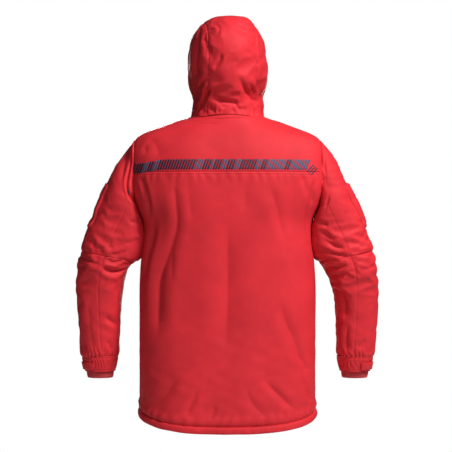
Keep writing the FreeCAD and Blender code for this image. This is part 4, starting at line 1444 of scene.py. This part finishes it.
def make_storm_flap():
    x, s = np.meshgrid(steps_between(-0.033, 0.035, 0.0017), steps_between(-0.690, -0.012, 0.0030))
    edge = edge_distance(x, s, (-0.033, -0.690), (0.035, -0.012), 0.007)
    place = zip_point(x, s, 0.0)
    wave = 0.0007 * ripples(place, 0.07, 101)
    pucker = 0.0003 * np.sin(s * 2 * PI / 0.011) * bell(edge - 0.006, 0.004)
    top = 0.0117 - 0.0016 * bell(edge, 0.0018) - 0.0008 * bell(edge - 0.0062, 0.0013) + wave + pucker
    bottom = 0.0076 + 0.0005 * bell(edge, 0.0018) + 0.5 * wave
    droop = FLAP_DROOP * smooth((np.abs(x) - 0.020) / 0.013)
    top -= droop
    bottom -= droop
    shift = np.clip(-edge, 0.0, None)
    x_cut = x - np.sign(x) * shift
    s_cut = s - np.sign(s + 0.35) * shift
    flap = slabs("storm_flap_cover", [(zip_point(x_cut, s_cut, top), zip_point(x_cut, s_cut, bottom), 0)])
    dress(flap, SHELL, "shell", "storm_flap")
    start = zip_point(0.0345, -0.35, 0.010)
    end = zip_point(0.0235, -0.35, 0.010)
    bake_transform(flap)
    make_snaps()


SNAP_X = -0.024
SNAP_PLACES = [-0.045 - 0.120 * i for i in range(6)]


def lathe(profile, centre_s, rise, sides=28):
    """A turned disc on the zip front: profile is (radius, height) from the middle out."""
    angles = np.arange(sides) * (2 * PI / sides)
    radius = np.array([p[0] for p in profile])[:, None]
    height = np.array([p[1] for p in profile])[:, None]
    return zip_point(SNAP_X + radius * np.cos(angles), centre_s + radius * np.sin(angles), rise + height)


def make_snaps():
    """Domed caps on the storm flap and the studs that they close on."""
    cap = [(0.0003, 0.0017), (0.0020, 0.00165), (0.0040, 0.0013), (0.0052, 0.0008), (0.0056, 0.0011),
           (0.0061, 0.0011), (0.0065, 0.0006), (0.0065, 0.0), (0.0003, 0.0)]
    stud = [(0.0003, 0.0024), (0.0014, 0.0023), (0.0019, 0.0016), (0.0016, 0.0011), (0.0030, 0.0009),
            (0.0046, 0.0007), (0.0050, 0.0003), (0.0050, 0.0), (0.0003, 0.0)]
    for name, node, profile, rise, body in (("snap_caps", "storm_flap_snaps", cap, 0.0107, "storm_flap"),
                                            ("snap_posts", "snap_studs", stud, 0.0043, "torso")):
        rings = [lathe(profile, s, rise) for s in SNAP_PLACES]
        rows, sides = rings[0].shape[:2]
        disc = grid_faces(rows, sides, True, False)
        faces = np.concatenate([disc + k * rows * sides for k in range(len(rings))])
        piece = new_object(name, np.array(rings).reshape(-1, 3), faces)
        tidy = bmesh.new()
        tidy.from_mesh(piece.data)
        bmesh.ops.holes_fill(tidy, edges=[e for e in tidy.edges if e.is_boundary])
        bmesh.ops.recalc_face_normals(tidy, faces=tidy.faces[:])
        tidy.to_mesh(piece.data)
        tidy.free()
        dress(piece, METAL, "metal", node, body=body)


def refine(node, look, slot, body, edge):
    """A copy of a small hard part with its edges eased."""
    source = frame["nodes"][node]
    piece = bpy.data.objects.new(node + "_eased", source.data.copy())
    bpy.context.scene.collection.objects.link(piece)
    tidy = bmesh.new()
    tidy.from_mesh(piece.data)
    bmesh.ops.remove_doubles(tidy, verts=tidy.verts[:], dist=1e-6)
    bmesh.ops.dissolve_limit(tidy, angle_limit=0.02, verts=tidy.verts[:], edges=tidy.edges[:])
    tidy.to_mesh(piece.data)
    tidy.free()
    bevel = piece.modifiers.new("edges", "BEVEL")
    bevel.width = edge
    bevel.segments = 2
    bevel.limit_method = "ANGLE"
    bake(piece)
    dress(piece, look, slot, node, body=body)


def finish_zip():
    refine("zip_slider", METAL, "metal", "zip_slider", 0.0004)
    refine("zip_pull", METAL, "metal", "zip_pull", 0.0003)
    refine("zip_stops", METAL, "metal", "torso", 0.0003)
    for node, look in (("zip_tapes", ZIP_CLOTH), ("zip_teeth", PLASTIC)):
        piece = frame["nodes"][node]
        piece.data.materials.clear()
        piece.data.materials.append(look)


# ------------------------------------------------------------------ stitching

def make_topstitching(body, sleeves):
    """Rows of thread beside the seams; the rows on the body go with the torso."""
    tree = tree_of(*body.values())
    x = np.linspace(-0.222, 0.222, 220)
    lines = []
    for rise in (-0.0060,):
        points, normals = rays(tree, x, np.full_like(x, YOKE_SEAM_Z + rise), back=True)
        lines.append((points + normals * 0.0001, normals))
    angles = np.linspace(0.0, 2 * PI, 240)
    for side in (1, -1):
        outline = armhole_outline(angles)
        outline[:, 0] -= 0.0065
        outline[:, 0] *= side
        lines.append(snap(tree, outline))
    piece = stitches("body_topstitching", lines)
    dress(piece, THREAD, "shell", body="torso")
    for (skin, _, marks), name in sleeves:
        row = row_range(skin, marks["seam"] - 0.006, marks["seam"]).start
        ring = skin.surface()[row]
        outer = np.r_[np.arange(-60, 61)] % len(ring)
        normals = skin.outward(skin.surface())[row]
        thread = stitches("elbow_topstitching_" + name, [(ring[outer], normals[outer])])
        dress(thread, THREAD, "shell")
        places = np.full(len(thread.data.vertices), marks["seam"])
        bend_with(thread, places)


# ------------------------------------------------------------------ stage

def area_light(name, place, target, size, energy, colour=(1.0, 1.0, 1.0)):
    light = bpy.data.lights.new(name, "AREA")
    light.shape = "DISK"
    light.size = size
    light.energy = energy
    light.color = colour
    lamp = bpy.data.objects.new(name, light)
    lamp.location = place
    lamp.rotation_euler = (Vector(target) - Vector(place)).to_track_quat("-Z", "Y").to_euler()
    bpy.context.scene.collection.objects.link(lamp)


FLOOR_HALF = 2.2
FLOOR_Z = -1.35


def make_stage():
    """A pale floor well below the worn jacket, white surroundings, soft studio lights and the camera."""
    ways = np.array([(-1, -1), (1, -1), (1, 1), (-1, 1)]) * FLOOR_HALF
    corners = np.column_stack([ways, np.full(4, FLOOR_Z)])
    floor = new_object("floor", corners, np.array([(0, 1, 2, 3)]))
    pale, _, _ = material("pale_floor", (0.82, 0.82, 0.82), 0.9)
    floor.data.materials.append(pale)
    world = bpy.data.worlds.new("studio")
    bpy.context.scene.world = world
    world.use_nodes = True
    tree = world.node_tree
    seen = tree.nodes.new("ShaderNodeLightPath").outputs["Is Camera Ray"]
    strength = tree.nodes.new("ShaderNodeMapRange")
    strength.inputs["To Min"].default_value = WORLD_LIGHT
    strength.inputs["To Max"].default_value = 1.0
    tree.links.new(seen, strength.inputs["Value"])
    background = tree.nodes["Background"]
    background.inputs["Color"].default_value = (1.0, 1.0, 1.0, 1.0)
    tree.links.new(strength.outputs["Result"], background.inputs["Strength"])
    middle = (0.0, 0.0, -0.25)
    area_light("key", (-1.8, 1.8, 2.2), middle, 0.8, KEY_LIGHT)
    area_light("fill", (-0.4, 2.7, 1.8), middle, 1.2, FILL_LIGHT)
    area_light("front_key", (0.45, -3.1, 0.45), middle, 0.9, KEY_LIGHT * 0.40)
    area_light("front_fill", (-0.4, -3.1, -0.2), middle, 1.2, FILL_LIGHT)
    camera = bpy.data.cameras.new("camera")
    camera.lens = 101.9
    camera.sensor_width = 36.0
    view = bpy.data.objects.new("camera", camera)
    view.location = (0.00375, 3.2, -0.26)
    view.rotation_euler = (math.radians(90.0), 0.0, math.radians(180.0))
    bpy.context.scene.collection.objects.link(view)
    bpy.context.scene.camera = view
    bpy.context.scene.view_settings.view_transform = "Standard"


WORLD_LIGHT = 0.06
KEY_LIGHT = 155.0
FILL_LIGHT = 28.0

torso = torso_skin()
fold_torso(torso)
body = make_body(torso)
make_body_inner(torso)
make_hem(torso)
make_tape(body)
make_collar()
hood = hood_skin()
fold_hood(hood)
hood_pieces = make_hood(hood)
for hood_piece in hood_pieces:
    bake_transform(hood_piece)
sleeves = [(make_sleeve(side, name), name) for side, name in ((1, "left"), (-1, "right"))]
make_pockets(body)
make_storm_flap()
finish_zip()
make_topstitching(body, sleeves)
make_stage()
